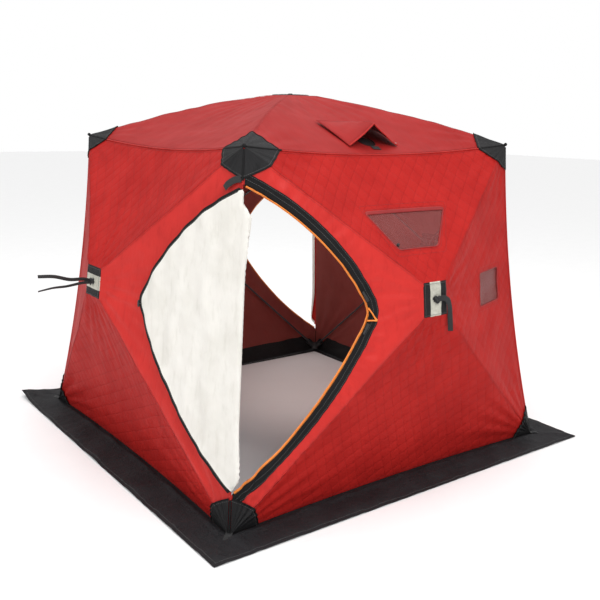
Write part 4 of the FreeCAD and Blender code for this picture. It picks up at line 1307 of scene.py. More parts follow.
@dataclass
class Windows:
    """The trapezoid and square windows of a door wall."""

    face: Face
    top_width: float = 0.450
    base_width: float = 0.226
    top_z: float = 1.186
    base_z: float = 1.040
    shift: float = -0.008
    square_x: tuple[float, float] = (0.432, 0.637)
    square_z: tuple[float, float] = (0.730, 0.880)
    lap: float = 0.012

    def ring(self, i: int, grow: float) -> Array:
        """A window's edge across and up the face.

        Args:
            i: the panel that it is in.
            grow: how far it is moved outwards.

        Returns:
            A closed ring, evenly spaced.
        """
        if i == 2:
            a, b = self.top_width / 2 + grow, self.base_width / 2 + grow
            corners = [(-b, self.base_z - grow), (b, self.base_z - grow), (a, self.top_z + grow),
                       (-a, self.top_z + grow)]
            corners = [(x + self.shift, z) for x, z in corners]
        else:
            (x0, x1), (z0, z1) = self.square_x, self.square_z
            corners = [(x0 - grow, z0 - grow), (x1 + grow, z0 - grow), (x1 + grow, z1 + grow), (x0 - grow, z1 + grow)]
        loop = []
        for k, (x, z) in enumerate(corners):
            p0, p1, p2 = (np.array(corners[(k + s) % 4]) for s in (-1, 0, 1))
            cut = 0.012
            a, b = p1 + unit(p0 - p1) * cut, p1 + unit(p2 - p1) * cut
            loop += [a, (a + b + p1 * 2) / 4, b]
        loop.append(loop[0])
        flat = walk(np.array(loop), 90)[:-1]
        xy = np.c_[flat[:, 0], (flat[:, 1] - self.face.foot[2])]
        for _ in range(8):
            u, v = self.face.find(i, xy)
            z = self.face.plain(i, u, v)[:, 2]
            xy = np.c_[flat[:, 0], (flat[:, 1] - self.face.foot[2] - z * self.face.out[2]) / self.face.up[2]]
        return xy

    def build(self) -> None:
        """Panes, bound edges and the top-stitching round them."""
        face = self.face
        for i, label in ((2, "upper_window"), (1, "side_window")):
            name = f"{face.name}_{label}"
            cut = Sheet2D(self.ring(i, self.lap), pitch=0.012)
            flat, tris = cut.mesh()
            wave = Ripples(40 + i, 0.05, 0.2, 8)(flat) * 0.0012
            top = face.on_cloth(i, flat, -0.0030 + wave * 0.5)
            pane = shell(f"{name}_pane", top, tris, -face.out * 0.0009, [CLEAR], uv=flat)
            face.hold(pane, i)
            dress(pane, CLEAR, "window_panes")
            sides = top[tris]
            cross = np.cross(sides[:, 1] - sides[:, 0], sides[:, 2] - sides[:, 0])
            edge = face.on_cloth(i, self.ring(i, 0.0015), 0.0012)
            points, quads = tube(edge, 0.0024, 8, 0.8, closed=True, up=face.out)
            bead = solid(f"{name}_binding", points, quads, [THREAD_RED])
            face.hold(bead, i)
            dress(bead, THREAD_RED)
            rings = (face.on_cloth(i, self.ring(i, g), 0.0004) for g in (0.024, 0.009))
            runs = [np.concatenate([r, r[:1]]) for r in rings]
            thread = stitches(f"{name}_stitches", runs)
            face.hold(thread, i)
            dress(thread, THREAD_RED)
            if i == 2:
                top_edge = self.ring(i, 0.0)
                keep = top_edge[top_edge[:, 1] > top_edge[:, 1].max() - 0.012]
                keep = keep[keep[:, 0].argsort()]
                line = walk(keep, 50)
                strip = np.concatenate([face.on_cloth(i, line + np.array([0, d]), a)
                                        for d, a in ((-0.010, 0.0002), (-0.009, 0.0016), (0.004, 0.0022),
                                                     (0.005, 0.0008))])
                hem = shell(f"{name}_hem_tape", strip, grid_faces(4, 50), -face.out * 0.0008, [THREAD_RED], sharp=80)
                face.hold(hem, i)
                dress(hem, THREAD_RED)
                corner = self.ring(i, -0.010)
                spot = corner[(corner[:, 0] + corner[:, 1]).argmin()]
                at = face.on_cloth(i, spot[None], 0.001)[0]
                p, f = lathe([(0.0, 0), (0.0062, 0), (0.0068, 0.004), (0.005, 0.007), (0.0, 0.0075)], 16)
                turned = at + p @ face.axes
                knob = solid(f"{name}_toggle", turned, f, [HUB])
                face.hold(knob, i)
                dress(knob, HUB)


PANEL = {0: "low_side", 1: "right_side", 2: "top_side", 3: "left_side"}


@dataclass
class WallCloth:
    """The four cloth panels of a face, their ridge seams and their hems."""

    face: Face
    door_panel: int | None = None
    doorway: Doorway | None = None
    windows: Windows | None = None
    vent_hole: Array | None = None

    def label(self, i: int) -> str:
        """Name of panel i."""
        if i == self.door_panel:
            return f"{self.face.name}_cloth_door_side"
        return f"{self.face.name}_cloth_{PANEL[i]}"

    def build(self) -> None:
        """Cut, crease, sew and dress every panel."""
        face = self.face
        roof = face.name == "roof"
        node = "roof" if roof else f"{face.name}_wall"
        for i in range(4):
            holes, lines = [], []
            if self.doorway is not None and i == 3:
                holes.append(self.doorway.hole())
            if self.windows is not None and i in (1, 2):
                holes.append(self.windows.ring(i, 0.0))
            if self.vent_hole is not None and i == 0:
                holes.append(self.vent_hole)
            band = None
            if i == 0 and not roof:
                seam = face.plain(0, np.linspace(0.0, 1.0, 90), np.full(90, 0.125))[:, :2]
                lines.append(seam[1:-1])
                band = 0.125
            flat, tris = Sheet2D(face.outline(i), holes, lines, 0.0135).mesh()
            u, v = face.find(i, flat)
            height = face.plain(i, u, v)[:, 2] + face.lift(i, u, v, flat)
            top = face.world(np.c_[flat, height])
            turn = 0.0 if roof else (0.4 if i == 0 else 0.0)
            uv = np.c_[flat[:, 0] * math.cos(turn) - flat[:, 1] * math.sin(turn),
                       flat[:, 0] * math.sin(turn) + flat[:, 1] * math.cos(turn)]
            finish = ROOFING if roof else (SATIN if i == self.door_panel else QUILTED)
            under = np.full(len(tris), 1)
            if band is not None:
                under[v[tris].mean(1) < band] = 2
            made = shell(self.label(i), top, tris, -face.out * SIZES.cloth, [finish], None, uv=uv, sharp=60,
                         under=[0] * len(tris))
            made.data.materials.append(INSIDE.build())
            made.data.materials.append(BLACK.build())
            ids = np.zeros(len(made.data.polygons), np.int32)
            ids[len(tris):2 * len(tris)] = under
            made.data.polygons.foreach_set("material_index", ids)
            face.hold(made, i)
            dress(made, finish, node)
            size, area = spread(face, i, [self.clip(h, i) for h in holes])
            self.seams(i)

    def clip(self, hole: Array, i: int) -> Array:
        """The part of an opening that lies in panel i, as a ring with its outside points drawn to the seam."""
        edge = self.face.outline(i)
        out = ~inside(hole, edge)
        if not out.any():
            return hole
        fixed = hole.copy()
        a, b = self.face.cut[3][:2], self.face.cut[0][:2]
        d = b - a
        t = ((hole[out] - a) @ d) / (d @ d)
        fixed[out] = a + t[:, None] * d
        return fixed

    def seams(self, i: int) -> None:
        """Top-stitching beside a panel's ridges and along its outer seam."""
        face = self.face
        v = np.linspace(0.05, 0.985, 120)
        runs = []
        for u, shift in ((0.0, 0.006), (1.0, -0.006)):
            wide = np.linalg.norm(face.cut[(i + 1) % 4] - face.cut[i]) * (1 - v) + 0.13 * v
            share = u + shift / wide
            runs.append(face.skin(i, share, v, 0.0004))
        t = np.linspace(0.012, 0.988, 150)
        line = face.skin(i, t, np.full(150, 0.013), 0.0005)
        if self.doorway is not None and i == 3:
            low = self.doorway.outline(0.075, 0.0, 5)
            z = face.world(np.c_[self.doorway.on_face(low), np.zeros(5)])
            first = line[line[:, 2] > z[0, 2]]
            second = line[line[:, 2] < z[-1, 2]]
            runs += [x for x in (first, second) if len(x) > 2]
        else:
            runs.append(line)
        thread = stitches(f"{self.label(i)}_stitches", runs)
        face.hold(thread, i)
        dress(thread, THREAD_RED)


@dataclass
class Piping:
    """Corded seams along the eaves and the corners, on the shelter's fixed edges."""

    faces: dict[str, Face]
    radius: float = 0.0027
    black_eave: float = 0.163
    black_top: float = 0.112
    black_foot: float = 0.136
    black_size: float = 1.7

    def build(self) -> None:
        """One cord for each eave and each corner."""
        roof = self.faces["roof"]
        red, black = [], []
        t = np.linspace(0, 1, 140)
        for i in range(4):
            a, b = roof.corners[i], roof.corners[(i + 1) % 4]
            line = a + (b - a) * t[:, None] + roof.bows[i] * (4 * t * (1 - t))[:, None]
            self.cut(line[1:-1], self.black_eave, self.black_eave, red, black)
        for name in ("front", "back"):
            face = self.faces[name]
            for edge in (1, 3):
                a, b = face.corners[edge], face.corners[(edge + 1) % 4]
                line = a + (b - a) * t[:, None] + face.bows[edge] * (4 * t * (1 - t))[:, None]
                ends = (self.black_foot, self.black_top)
                self.cut(line[1:-1], *(ends if edge == 1 else ends[::-1]), red, black)
        for name, parts, finish in (("seam_piping", red, SATIN), ("cap_piping", black, TAPE)):
            p, f, _ = join(parts)
            made = solid(name, p, f, [finish])
            made.data.uv_layers.new(name="cloth")
            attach(made, FIXED)
            dress(made, finish)

    def cut(self, line: Array, first: float, last: float, red: list, black: list) -> None:
        """Cut a cord where it goes under the black corner cloth.

        Args:
            line: the cord's path.
            first: length of the black end at its start.
            last: length of the black end at its finish.
            red: tubes of the red cord, added to.
            black: tubes of the black cord, added to.
        """
        gone = np.r_[0.0, np.cumsum(np.linalg.norm(np.diff(line, axis=0), axis=1))]
        a, b = int(np.searchsorted(gone, first)), int(np.searchsorted(gone, gone[-1] - last))
        red.append(tube(line[a:b + 1], self.radius, 8))
        thick = self.radius * self.black_size
        black.extend([tube(line[:a + 1], thick, 8), tube(line[b:], thick, 8)])


@dataclass
class CornerCloth:
    """Black reinforcement leaves at one corner of a face, one on each of the two panels that meet there."""

    face: Face
    corner: int
    along: float
    middle: float
    down: float
    nodes: tuple[str, ...]

    def build(self) -> None:
        """The two leaves with their corded edges and stitching."""
        face, c = self.face, self.corner
        other = (c + 3) % 4
        pair = ((c, 0.0, self.length(c), self.reach(c, True)),
                (other, 1.0, self.length(other), self.reach(c, False)))
        ridge = float(np.linalg.norm(face.rim[c] - face.cut[c]))
        for panel, start, seam, out in pair:
            n = 16
            w = np.linspace(0, 1, n + 1)
            far_u, far_v = out / seam, self.middle / ridge
            bulge = 1 + 0.05 * np.sin(math.pi * w)
            us, vs = far_u * (1 - w) * bulge, far_v * w * bulge
            r = np.linspace(0, 1, 15)
            u = (r[:, None] * us[None]).ravel()
            v = (r[:, None] * vs[None]).ravel()
            u = np.where(start > 0, 1 - u, u)
            lift = 0.0030 if self.along > 0.15 else 0.0055
            above = lift + 0.0016 * np.repeat(r, n + 1)
            top = face.skin(panel, u, v, above)
            faces = grid_faces(15, n + 1)
            a = top[faces[40][1]] - top[faces[40][0]]
            b = top[faces[40][2]] - top[faces[40][0]]
            if np.cross(a, b) @ face.out < 0:
                faces = [tuple(reversed(f)) for f in faces]
            edge = top.reshape(15, n + 1, 3)[-1] + face.out * 0.0006
            p2, f2 = tube(edge, 0.0020, 8)
            name = f"{face.name}_{'cap' if self.along > 0.15 and self.middle > 0.09 else 'patch'}_{c}_{PANEL[panel]}"
            leaf = shell(name, top, faces, -face.out * 0.0014, [BLACK], sharp=60)
            face.hold(leaf, panel)
            dress(leaf, BLACK, *self.nodes)
            cord = solid(f"{name}_cord", p2, f2, [TAPE])
            face.hold(cord, panel)
            dress(cord, TAPE)
            inner = top.reshape(15, n + 1, 3)[-2] + face.out * 0.0004
            thread = stitches(f"{name}_stitches", [inner], THREAD_GREY)
            face.hold(thread, panel)
            dress(thread, THREAD_GREY)
            size = (float(out), float(self.middle))

    def length(self, panel: int) -> float:
        """Length of a panel's outer seam."""
        return float(np.linalg.norm(self.face.cut[(panel + 1) % 4] - self.face.cut[panel]))

    def reach(self, corner: int, first: bool) -> float:
        """How far the leaf runs along the seam that starts, or ends, at the corner."""
        if self.face.name == "roof":
            return self.along
        level = {0: first, 1: not first, 2: first, 3: not first}[corner]
        return self.along if level else self.down


@dataclass
class HubPatch:
    """Banded patch over a hub, its knob and the knotted pull."""

    face: Face
    rows: int = 27
    border: float = 0.005

    def build(self) -> None:
        """Patch cloth in three bands, with its bolt knob, knot and stitching."""
        face = self.face
        n = self.rows
        hx, hy = face.patch_x + self.border, face.patch_y + self.border
        s = np.linspace(-1, 1, n)
        x, y = np.meshgrid(s, s)
        flat = np.c_[x.ravel(), y.ravel()]
        soft = Ripples(60 + face.seed, 0.22, 0.9, 12)(flat)
        fine = Ripples(70 + face.seed, 0.10, 0.25, 12)(flat)
        across = flat[:, 1] if face.turned else flat[:, 0]
        banded = face.name != "roof"
        in_band = np.exp(-(across / 0.42) ** 4) if banded else np.zeros(len(flat))
        dome = (1 - np.abs(flat[:, 0]) ** 3) * (1 - np.abs(flat[:, 1]) ** 3)
        pull = 0.004 * np.exp(-(np.hypot(flat[:, 0] * hx, flat[:, 1] * hy) / 0.018) ** 2)
        z = face.bulge + 0.0012 + 0.0028 * dome + soft * 0.0006 + fine * (0.0004 + 0.0012 * in_band) - pull
        edge = np.maximum(np.abs(flat[:, 0]), np.abs(flat[:, 1]))
        z = z - 0.0016 * smooth(edge, 0.93, 1.0)
        top = face.world(np.c_[flat[:, 0] * hx, flat[:, 1] * hy, z])
        faces = grid_faces(n, n)
        mid = across[np.array(faces)].mean(1)
        ids = (np.abs(mid) < 0.45).astype(int) if banded else np.zeros(len(faces), int)
        name = f"{face.name}_patch_cloth"
        made = shell(name, top, faces, -face.out * 0.0022, [BLACK, REFLECT], ids=ids, sharp=60)
        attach(made, face.hub_body)
        dress(made, REFLECT if banded else BLACK, f"{face.name}_hub_patch")
        2 * hx
        2 * hy
        t = np.linspace(-0.9, 0.9, 40)
        square = np.concatenate([np.c_[t, t * 0 - 0.9], np.c_[t * 0 + 0.9, t], np.c_[-t, t * 0 + 0.9],
                                 np.c_[t * 0 - 0.9, -t]])
        height = face.bulge + 0.0030 + 0.0028 * (1 - np.abs(square[:, 0]) ** 3) * (1 - np.abs(square[:, 1]) ** 3)
        line = face.world(np.c_[square[:, 0] * hx, square[:, 1] * hy, height])
        thread = stitches(f"{name}_stitches", [line], THREAD_GREY)
        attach(thread, face.hub_body)
        dress(thread, THREAD_GREY)
        self.knob()

    def knob(self) -> None:
        """The bolt's washer and knob, and the webbing knotted over it."""
        face = self.face
        b = face.bulge - 0.001
        profile = [(0.0, 0.0), (0.0165, 0.0), (0.0172, 0.0012), (0.016, 0.0026), (0.0100, 0.0032), (0.0095, 0.006),
                   (0.0105, 0.0075), (0.0105, 0.0088), (0.0085, 0.0100), (0.0, 0.0102)]
        p, f = lathe(profile, 28)
        knob = solid(f"{face.name}_bolt_knob", face.world(p + [0, 0, b]), f, [HUB])
        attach(knob, face.hub_body)
        dress(knob, HUB)
        if face.name == "roof":
            return
        t = np.linspace(0, 2 * math.pi, 84, endpoint=False)
        r = 0.0105
        loop = np.stack([(np.sin(t) + 2 * np.sin(2 * t)) * r * 0.44, (np.cos(t) - 2 * np.cos(2 * t)) * r * 0.44,
                         -np.sin(3 * t) * 0.0036], 1)
        p, f = tube(loop, 0.0048, 8, 0.5, closed=True, up=np.array([0.2, 0.1, 1.0]))
        knot = solid(f"{face.name}_pull_knot", face.world(p + [0, 0, b + 0.0135]), f, [WEBBING])
        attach(knot, face.hub_body)
        dress(knot, WEBBING)


@dataclass
class PullStrap:
    """Webbing pull on a hub: one hanging tail, or two tails standing out."""

    face: Face
    hangs: bool

    def build(self) -> None:
        """The tails, as webbing ribbons."""
        face, b = self.face, self.face.bulge
        node = f"{face.name}_pull_strap"
        if self.hangs:
            path = np.array([[0.006, 0.0, b + 0.013], [0.030, 0.002, b + 0.020], [0.054, -0.012, b + 0.020],
                             [0.070, -0.046, b + 0.013], [0.080, -0.092, b + 0.004], [0.089, -0.146, b - 0.004]])
            tails = [(path, np.array([0.30, 0.95, 0.1]), 0.022, 0.9)]
        else:
            tails = [(np.array([[0.0, 0.003, b + 0.014], [0.004, 0.010, b + 0.050], [0.010, 0.008, b + 0.110],
                                [0.012, 0.020, b + 0.180], [0.008, 0.018, b + 0.246]]),
                      np.array([0.25, 1.0, 0.0]), 0.015, 0.8),
                     (np.array([[0.002, -0.004, b + 0.014], [0.010, -0.006, b + 0.055], [0.006, -0.022, b + 0.120],
                                [0.014, -0.028, b + 0.180], [0.012, -0.044, b + 0.242]]),
                      np.array([0.3, 1.0, 0.1]), 0.015, -0.7)]
        for k, (points, wide, width, twist) in enumerate(tails):
            local = spline(points, 44)
            path = face.world(local)
            side = unit(wide) @ face.axes
            name = f"{face.name}_pull_tail_{k + 1}"
            made = ribbon(name, path, side, width, 0.0021, WEBBING, twist)
            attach(made, face.hub_body)
            dress(made, WEBBING, node)


@dataclass
class SnowSkirt:
    """Snow skirt round the foot and its corner straps."""

    half: float = 1.057
    lap: float = 0.042
    cloth: float = 0.0018
    rows: int = 30
    cols: int = 150

    def height(self, s: Array, t: Array, side: int) -> Array:
        """Height of the skirt's underside above the snow.

        Args:
            s: from -1 to 1 along the side.
            t: from 0 under the wall to 1 at the free edge.
            side: which side.

        Returns:
            Heights in metres.
        """
        inner = SIZES.base_half - self.lap
        reach = inner + t * (self.half - inner)
        along = s * reach
        wall = SIZES.base_half - SIZES.hem_bow * (1 - s ** 2)
        out = reach - wall
        far = 1 - smooth(np.abs(s), 0.93, 0.995)
        place = np.c_[along * 1.0, reach * 1.0]
        broad = Ripples(80 + side, 0.10, 0.30, 9)(place)
        fold = Ripples(90 + side, 0.05, 0.12, 9)(place * [1.0, 0.35])
        wave = np.clip(0.5 + 0.6 * broad, 0, 1.4) * 0.0075 + np.clip(fold, 0, 1) * 0.0045
        rise = smooth(out, 0.0, 0.035)
        hug = 0.010 * np.exp(-((out - 0.022) / 0.018) ** 2) * (0.6 + 0.4 * broad)
        edge = 0.55 + 0.45 * smooth(1 - t, 0.0, 0.12)
        corner = 0.012 * np.exp(-((1 - np.abs(s)) / 0.035) ** 2) * smooth(t, 0.25, 0.6) * (1 - smooth(t, 0.8, 1.0))
        return rise * (wave * edge * (0.4 + 0.6 * far) + hug) + corner * rise

    def build(self) -> None:
        """The four mitred sides with a folded edge, stitched."""
        inner = SIZES.base_half - self.lap
        parts, edges, hems = [], [], []
        u = np.linspace(0, 1, self.cols)
        s = np.clip(np.sin((u - 0.5) * math.pi) * 0.35 + (u * 2 - 1) * 0.65, -1, 1)
        t = np.linspace(0, 1, self.rows)
        ss, tt = np.meshgrid(s, t)
        total = 0.0
        for side in range(4):
            z = self.height(ss.ravel(), tt.ravel(), side)
            reach = inner + tt.ravel() * (self.half - inner)
            x, y = ss.ravel() * reach, -reach
            if side == 3:
                tip = np.exp(-(((ss.ravel() + 1) / 0.10) ** 2)) * smooth(tt.ravel(), 0.55, 1.0)
                z = z + 0.030 * tip
            if side == 2:
                tip = np.exp(-(((ss.ravel() - 1) / 0.10) ** 2)) * smooth(tt.ravel(), 0.55, 1.0)
                z = z + 0.030 * tip
            angle = side * math.pi / 2
            p = np.c_[x * math.cos(angle) - y * math.sin(angle), x * math.sin(angle) + y * math.cos(angle), z]
            grid = p.reshape(self.rows, self.cols, 3)
            parts.append((p, [tuple(reversed(f)) for f in grid_faces(self.rows, self.cols)]))
            edges.append(grid[-1])
            hems.append(grid[-3] + [0, 0, self.cloth + 0.0006])
            total += float(4 * (self.half ** 2 - inner ** 2) / 4)
        points, faces, _ = join(parts)
        grid0 = points.reshape(4, self.rows, self.cols, 3)
        for k in range(4):
            mean = (grid0[k, :, -1] + grid0[(k + 1) % 4, :, 0]) / 2
            grid0[k, :, -1] = mean
            grid0[(k + 1) % 4, :, 0] = mean
        points = grid0.reshape(-1, 3)
        points[:, 2] = np.maximum(points[:, 2], 0.0003) + self.cloth
        a, b, c = (points[faces[10][k]] for k in range(3))
        if np.cross(b - a, c - a)[2] < 0:
            faces = [tuple(reversed(f)) for f in faces]
        made = shell("snow_skirt_cloth", points, faces, np.array([0, 0, -self.cloth]), [SKIRTING], sharp=60)
        merged = made.modifiers.new("weld", "WELD")
        merged.merge_threshold = 0.00002
        view = bpy.context.evaluated_depsgraph_get()
        plain = bpy.data.meshes.new_from_object(made.evaluated_get(view))
        made.modifiers.clear()
        made.data = plain
        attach(made, FIXED)
        dress(made, SKIRTING, "snow_skirt")
        side = 2 * self.half
        border = np.concatenate([e[:-1] for e in grid0[:, -1]]) + [0, 0, self.cloth * 0.2]
        p, f = tube(border, 0.0026, 8, 0.8, closed=True)
        bead = solid("snow_skirt_edge", p, f, [SKIRTING])
        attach(bead, FIXED)
        dress(bead, SKIRTING)
        lines = [g[-3] + [0, 0, 0.0008] for g in grid0]
        thread = stitches("snow_skirt_stitches", lines, THREAD_GREY)
        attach(thread, FIXED)
        dress(thread, THREAD_GREY)
        self.straps()

    def straps(self) -> None:
        """Corner straps that carry the ice anchor eyelets."""
        for k, (sx, sy) in enumerate(CORNERS):
            along = unit(np.array([sx, sy, 0.0]))
            wide = np.array([-along[1], along[0], 0.0])
            r = np.linspace(0.888, 1.006, 34) * math.sqrt(2)
            z = 0.0034 + 0.009 * np.exp(-((r / math.sqrt(2) - 0.918) / 0.014) ** 2)
            z = z + 0.022 * (1 - smooth(r / math.sqrt(2), 0.888, 0.905))
            path = along * r[:, None] + np.array([0, 0, 1.0]) * z[:, None]
            made = ribbon(f"anchor_strap_{k + 1}", path, wide, 0.027, 0.0019, WEBBING)
            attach(made, FIXED)
            dress(made, WEBBING, "anchor_straps")
            box = [path[m] + wide * w + [0, 0, 0.0013] for m, w in
                   ((33, .010), (27, .010), (27, -.010), (33, -.010), (33, .010), (27, -.010), (27, .010), (33, -.010))]
            thread = stitches(f"anchor_strap_stitches_{k + 1}", [walk(np.array(box), 60)], THREAD_GREY)
            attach(thread, FIXED)
            dress(thread, THREAD_GREY)


@dataclass
class Vent:
    """Roof vent: net over the hole and a propped hood with a bound mouth."""

    roof: Face
    mouth_x: tuple[float, float] = (-0.148, 0.127)
    rear_x: tuple[float, float] = (-0.169, 0.148)
    mouth: float = 0.097
    back: float = 0.305
    rise: float = 0.102
    clear: float = 0.0045
    hole_r: float = 0.042

    @property
    def middle(self) -> float:
        """Where the hood's ridge stands, across the roof."""
        return sum(self.mouth_x) / 2

    @property
    def hole_at(self) -> Array:
        """Middle of the hole, across and up the roof."""
        return np.array([self.middle, -SIZES.top_half + (self.mouth + self.back) / 2 - 0.045])

    def ring(self, radius: float, count: int = 48) -> Array:
        """A ring round the hole."""
        a = np.linspace(0, 2 * math.pi, count, endpoint=False)
        return self.hole_at + radius * np.stack([np.cos(a), np.sin(a)], 1)

    def sheet(self, s: Array, t: Array, above: float = 0.0) -> Array:
        """World points of the hood.

        Args:
            s: from -1 at its left side to 1 at its right.
            t: from 0 at the mouth to 1 at the rear.
            above: distance over it.

        Returns:
            The points.
        """
        left = self.mouth_x[0] * (1 - t) + self.rear_x[0] * t
        right = self.mouth_x[1] * (1 - t) + self.rear_x[1] * t
        peak = self.middle - 0.012 * (1 - t)
        share = 1 - np.abs(s)
        x = np.where(s < 0, left + (peak - left) * share, right + (peak - right) * share)
        y = -SIZES.top_half + self.mouth - 0.008 * share * (1 - t) + (self.back - self.mouth) * t
        xy = np.c_[x, y]
        u, v = self.roof.find(0, xy)
        z = self.roof.plain(0, u, v)[:, 2]
        tent = share * (1 - t)
        sag = -0.010 * np.sin(math.pi * np.clip(share, 0, 1)) * (1 - t) * np.sin(math.pi * np.clip(t + 0.35, 0, 1))
        wave = Ripples(101, 0.05, 0.16, 9)(xy) * 0.0018 * smooth(tent, 0.02, 0.3)
        z = z + self.clear + self.rise * tent * 0.98 + sag * 0.6 + wave + above
        return self.roof.world(np.c_[xy, z])

    def build(self) -> None:
        """The net, the hood, its bound mouth, a snap and the stay tab."""
        roof = self.roof
        flat, tris = Sheet2D(self.ring(self.hole_r + 0.010), pitch=0.008).mesh()
        net = shell("vent_net", roof.on_cloth(0, flat, -0.0030), tris, -roof.out * 0.0007, [NETTING])
        roof.hold(net, 0)
        dress(net, NETTING, "vent_mesh")
        size = 2 * (self.hole_r + 0.010)
        math.pi * size * size / 4
        p, f = tube(roof.on_cloth(0, self.ring(self.hole_r + 0.001), 0.0010), 0.0022, 8, closed=True, up=roof.out)
        bead = solid("vent_hole_binding", p, f, [BLACK])
        roof.hold(bead, 0)
        dress(bead, BLACK)
        n, m = 61, 31
        s, t = np.meshgrid(np.linspace(-1, 1, n), np.linspace(0, 1, m))
        top = self.sheet(s.ravel(), t.ravel())
        faces = grid_faces(m, n)
        # Inner faces of the hood get the darker roof red: painted shade under the hood.
        hood = shell("vent_hood_cloth", top, faces, np.array([0, 0, -0.0018]), [ROOFING], HOOD_UNDER_SHADE,
                     uv=np.c_[top[:, 0], top[:, 1]],
                     sharp=48)
        roof.hold(hood, 0)
        dress(hood, ROOFING, "vent_hood")
        net_of = top.reshape(m, n, 3)
        a, b = net_of[1:, :-1] - net_of[:-1, :-1], net_of[:-1, 1:] - net_of[:-1, :-1]
        area = float(np.linalg.norm(np.cross(a, b), axis=2).sum())
        wide = float(np.linalg.norm(np.diff(top[:n], axis=0), axis=1).sum())
        long = max(self.back - self.mouth + 0.03, area / wide + 0.001)
        mouth = self.sheet(np.linspace(-1, 1, 61), np.zeros(61), -0.0008)
        p, f = tube(mouth, 0.0032, 8)
        cord = solid("vent_mouth_cord", p, f, [SATIN])
        cord.data.uv_layers.new(name="cloth")
        roof.hold(cord, 0)
        dress(cord, SATIN)
        runs = [self.sheet(np.linspace(-0.97, 0.97, 60), np.full(60, 0.97), 0.0008),
                self.sheet(np.full(50, -0.96), np.linspace(0.03, 0.96, 50), 0.0008),
                self.sheet(np.full(50, 0.96), np.linspace(0.03, 0.96, 50), 0.0008),
                self.sheet(np.linspace(-0.95, 0.95, 60), np.full(60, 0.06), 0.0008)]
        thread = stitches("vent_hood_stitches", runs)
        roof.hold(thread, 0)
        dress(thread, THREAD_RED)
        at = self.sheet(np.array([0.93]), np.array([0.02]), 0.001)[0]
        p, f = lathe([(0.0, 0), (0.0058, 0), (0.0062, 0.0015), (0.004, 0.003), (0.0, 0.0032)], 18)
        snap = solid("vent_snap", p + at, f, [EYELET])
        roof.hold(snap, 0)
        dress(snap, EYELET)
        tab_xy = np.stack([np.full(14, self.middle + 0.004) + np.linspace(0.0, 0.006, 14),
                           np.linspace(-0.655, -0.628, 14)], 1)
        path = roof.on_cloth(0, tab_xy, 0.0032)
        tab = ribbon("vent_stay_tab", path, np.array([1.0, 0, 0]), 0.040, 0.0022, WEBBING)
        roof.hold(tab, 0)
        dress(tab, WEBBING)


# Darker copy of the roof red for the hood's inner faces: painted shade under the propped hood.
HOOD_UNDER_SHADE = Finish("hood_under_painted_shade", "roof_red", (0.10, 0.008, 0.010), (0.07, 0.006, 0.007), Weave.SATIN, (0.55, 0.7),
                 depth=0.002, on_uv=True)


class FrameParts(Enum):
    """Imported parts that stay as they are, with their finish."""

    POLES = ("_pole_", ROD)
    HUBS = ("_hub", HUB)
    PINS = ("_hub_pins", STEEL)
    POCKETS = ("corner_pockets", POCKET)
    EYELETS = ("anchor_grommets", EYELET)
    SLIDERS = ("_slider", SLIDER)

    def fits(self, node: str) -> bool:
        """Whether a node is of this kind."""
        mark = self.value[0]
        return mark in node if self is FrameParts.POLES else node.endswith(mark)

    @staticmethod
    def dress_all(nodes: dict[str, bpy.types.Object]) -> None:
        """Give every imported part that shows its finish."""
        for name, node in nodes.items():
            for kind in FrameParts:
                if kind.fits(name):
                    finish = kind.value[1]
                    node.data.materials.clear()
                    node.data.materials.append(finish.build())


@dataclass
class CapTips:
    """Rounded piping ends at the top corners."""

    radius: float = 0.0085

    def build(self) -> None:
        """One tip for each top corner."""
        parts = []
        s = SIZES
        for sx, sy in CORNERS:
            p, f = lathe([(0.0, -0.9), (0.45, -0.8), (0.8, -0.5), (1.0, 0.0), (0.85, 0.5), (0.5, 0.85), (0.0, 1.0)], 18)
            at = np.array([sx * (s.top_half + 0.0015), sy * (s.top_half + 0.0015), s.corner_height + 0.002])
            parts.append((p * self.radius + at, f))
        p, f, _ = join(parts)
        made = solid("cap_tips", p, f, [TAPE])
        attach(made, FIXED)
        dress(made, TAPE)


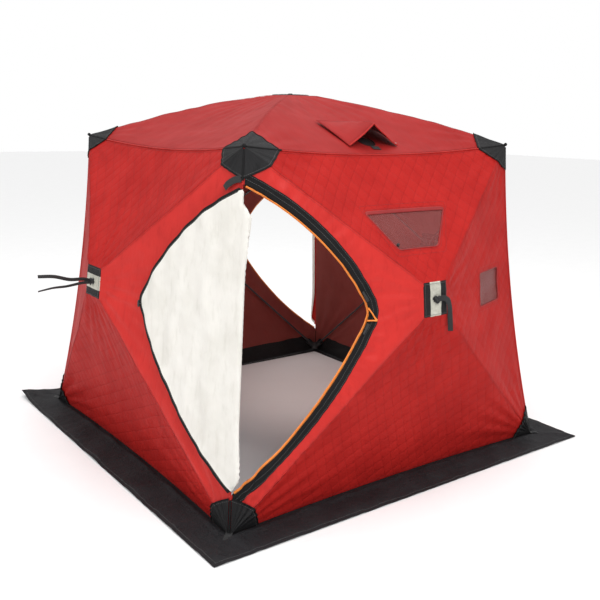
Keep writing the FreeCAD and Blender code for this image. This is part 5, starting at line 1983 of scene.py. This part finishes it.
@dataclass
class Studio:
    """Pale floor, soft lights and the camera."""

    azimuth: float = -36.740
    elevation: float = 12.954
    roll: float = 1.175
    eye: tuple[float, float, float] = (-2.3210, -3.2228, 1.5474)
    lens: float = 47.29

    def light(self, name: str, at: tuple[float, float, float], aim: tuple[float, float, float], size: float,
              power: float, colour: Colour = (1.0, 1.0, 1.0)) -> None:
        """Add a soft square light.

        Args:
            name: its name.
            at: where it hangs.
            aim: what it points to.
            size: its side.
            power: in watts.
            colour: its colour.
        """
        data = bpy.data.lights.new(name, "AREA")
        data.size, data.energy, data.color = size, power, colour
        lamp = bpy.data.objects.new(name, data)
        lamp.visible_camera = False
        lamp.location = at
        lamp.rotation_euler = (Vector(aim) - Vector(at)).to_track_quat("-Z", "Y").to_euler()
        bpy.context.scene.collection.objects.link(lamp)

    def build(self) -> None:
        """Set up the floor, the lights, the surroundings and the camera."""
        half = 30.0
        floor = solid("studio_floor", np.array([[-half, -half, -0.0005], [half, -half, -0.0005], [half, half, -0.0005],
                                                [-half, half, -0.0005]]), [(0, 1, 2, 3)], [FLOOR])
        world = bpy.data.worlds.new("studio")
        world.use_nodes = True
        world.node_tree.nodes.clear()
        net = Net(world.node_tree)
        seen = net.node("ShaderNodeLightPath")
        split = net.node("ShaderNodeSeparateXYZ", None, {0: net.node("ShaderNodeTexCoord").outputs["Generated"]})
        sky = Val(net, split.outputs[2]).op("MAXIMUM", 0.0) * 1.15 + 0.30
        straight = Val(net, seen.outputs["Is Camera Ray"])
        strength = straight + (straight * -1.0 + 1.0) * sky
        back = net.node("ShaderNodeBackground", None, {"Color": (1.0, 1.0, 1.0, 1.0), "Strength": strength})
        net.node("ShaderNodeOutputWorld", None, {"Surface": back.outputs[0]})
        bpy.context.scene.world = world
        bpy.context.scene.view_settings.view_transform = "Standard"
        self.light("key", (-1.2, -4.6, 4.4), (0.1, -0.3, 0.9), 2.6, 125.0)
        self.light("overhead", (0.0, 0.2, 5.2), (0.0, 0.0, 1.2), 5.0, 70.0)
        self.light("inner_fill", (0.0, 0.0, 0.95), (0.6, 0.2, 0.7), 0.7, 6.0, (1.0, 0.84, 0.80))
        self.light("left_fill", (-5.2, -0.8, 2.8), (-0.4, 0.0, 0.8), 3.0, 40.0)
        az, el, roll = (math.radians(x) for x in (self.azimuth, self.elevation, self.roll))
        forward = np.array([-math.sin(az) * math.cos(el), math.cos(az) * math.cos(el), -math.sin(el)])
        right = unit(np.cross(forward, [0, 0, 1.0]))
        up = np.cross(right, forward)
        right, up = right * math.cos(roll) + up * math.sin(roll), up * math.cos(roll) - right * math.sin(roll)
        turn = Matrix((tuple(right), tuple(up), tuple(-forward))).transposed().to_4x4()
        data = bpy.data.cameras.new("view")
        data.lens, data.sensor_width, data.clip_end = self.lens, 36.0, 200.0
        camera = bpy.data.objects.new("view", data)
        camera.matrix_world = Matrix.Translation(self.eye) @ turn
        bpy.context.scene.collection.objects.link(camera)
        bpy.context.scene.camera = camera


def main() -> None:
    """Build the shelter's looks in order."""
    logging.basicConfig(level=logging.INFO, format="%(name)s %(message)s")
    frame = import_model()
    faces = make_faces()
    vent = Vent(faces["roof"])
    for name, side in (("front", "left"), ("back", "right")):
        face = faces[name]
        door, windows = Doorway(face, side), Windows(face)
        face.door = door.on_face(door.outline(0.0, 0.0, 120))
        WallCloth(face, 3, door, windows).build()
        WallCloth(faces[side], 1).build()
        windows.build()
        door.trim()
        door.flap()
        door.tie()
        door.pulls()
    WallCloth(faces["roof"], vent_hole=vent.ring(vent.hole_r)).build()
    vent.build()
    Piping(faces).build()
    CapTips().build()
    for name, face in faces.items():
        HubPatch(face).build()
        if name == "roof":
            for c in range(4):
                CornerCloth(face, c, 0.165, 0.150, 0.165, ("top_corner_caps",)).build()
            continue
        PullStrap(face, name in ("front", "back")).build()
        for c in (2, 3):
            CornerCloth(face, c, 0.165, 0.118, 0.114, ("top_corner_caps",)).build()
        for c in (0, 1):
            CornerCloth(face, c, 0.130, 0.130, 0.138, ("base_corner_caps",)).build()
    SnowSkirt().build()
    FrameParts.dress_all(frame["nodes"])
    Studio().build()


if __name__ == "__main__":
    main()
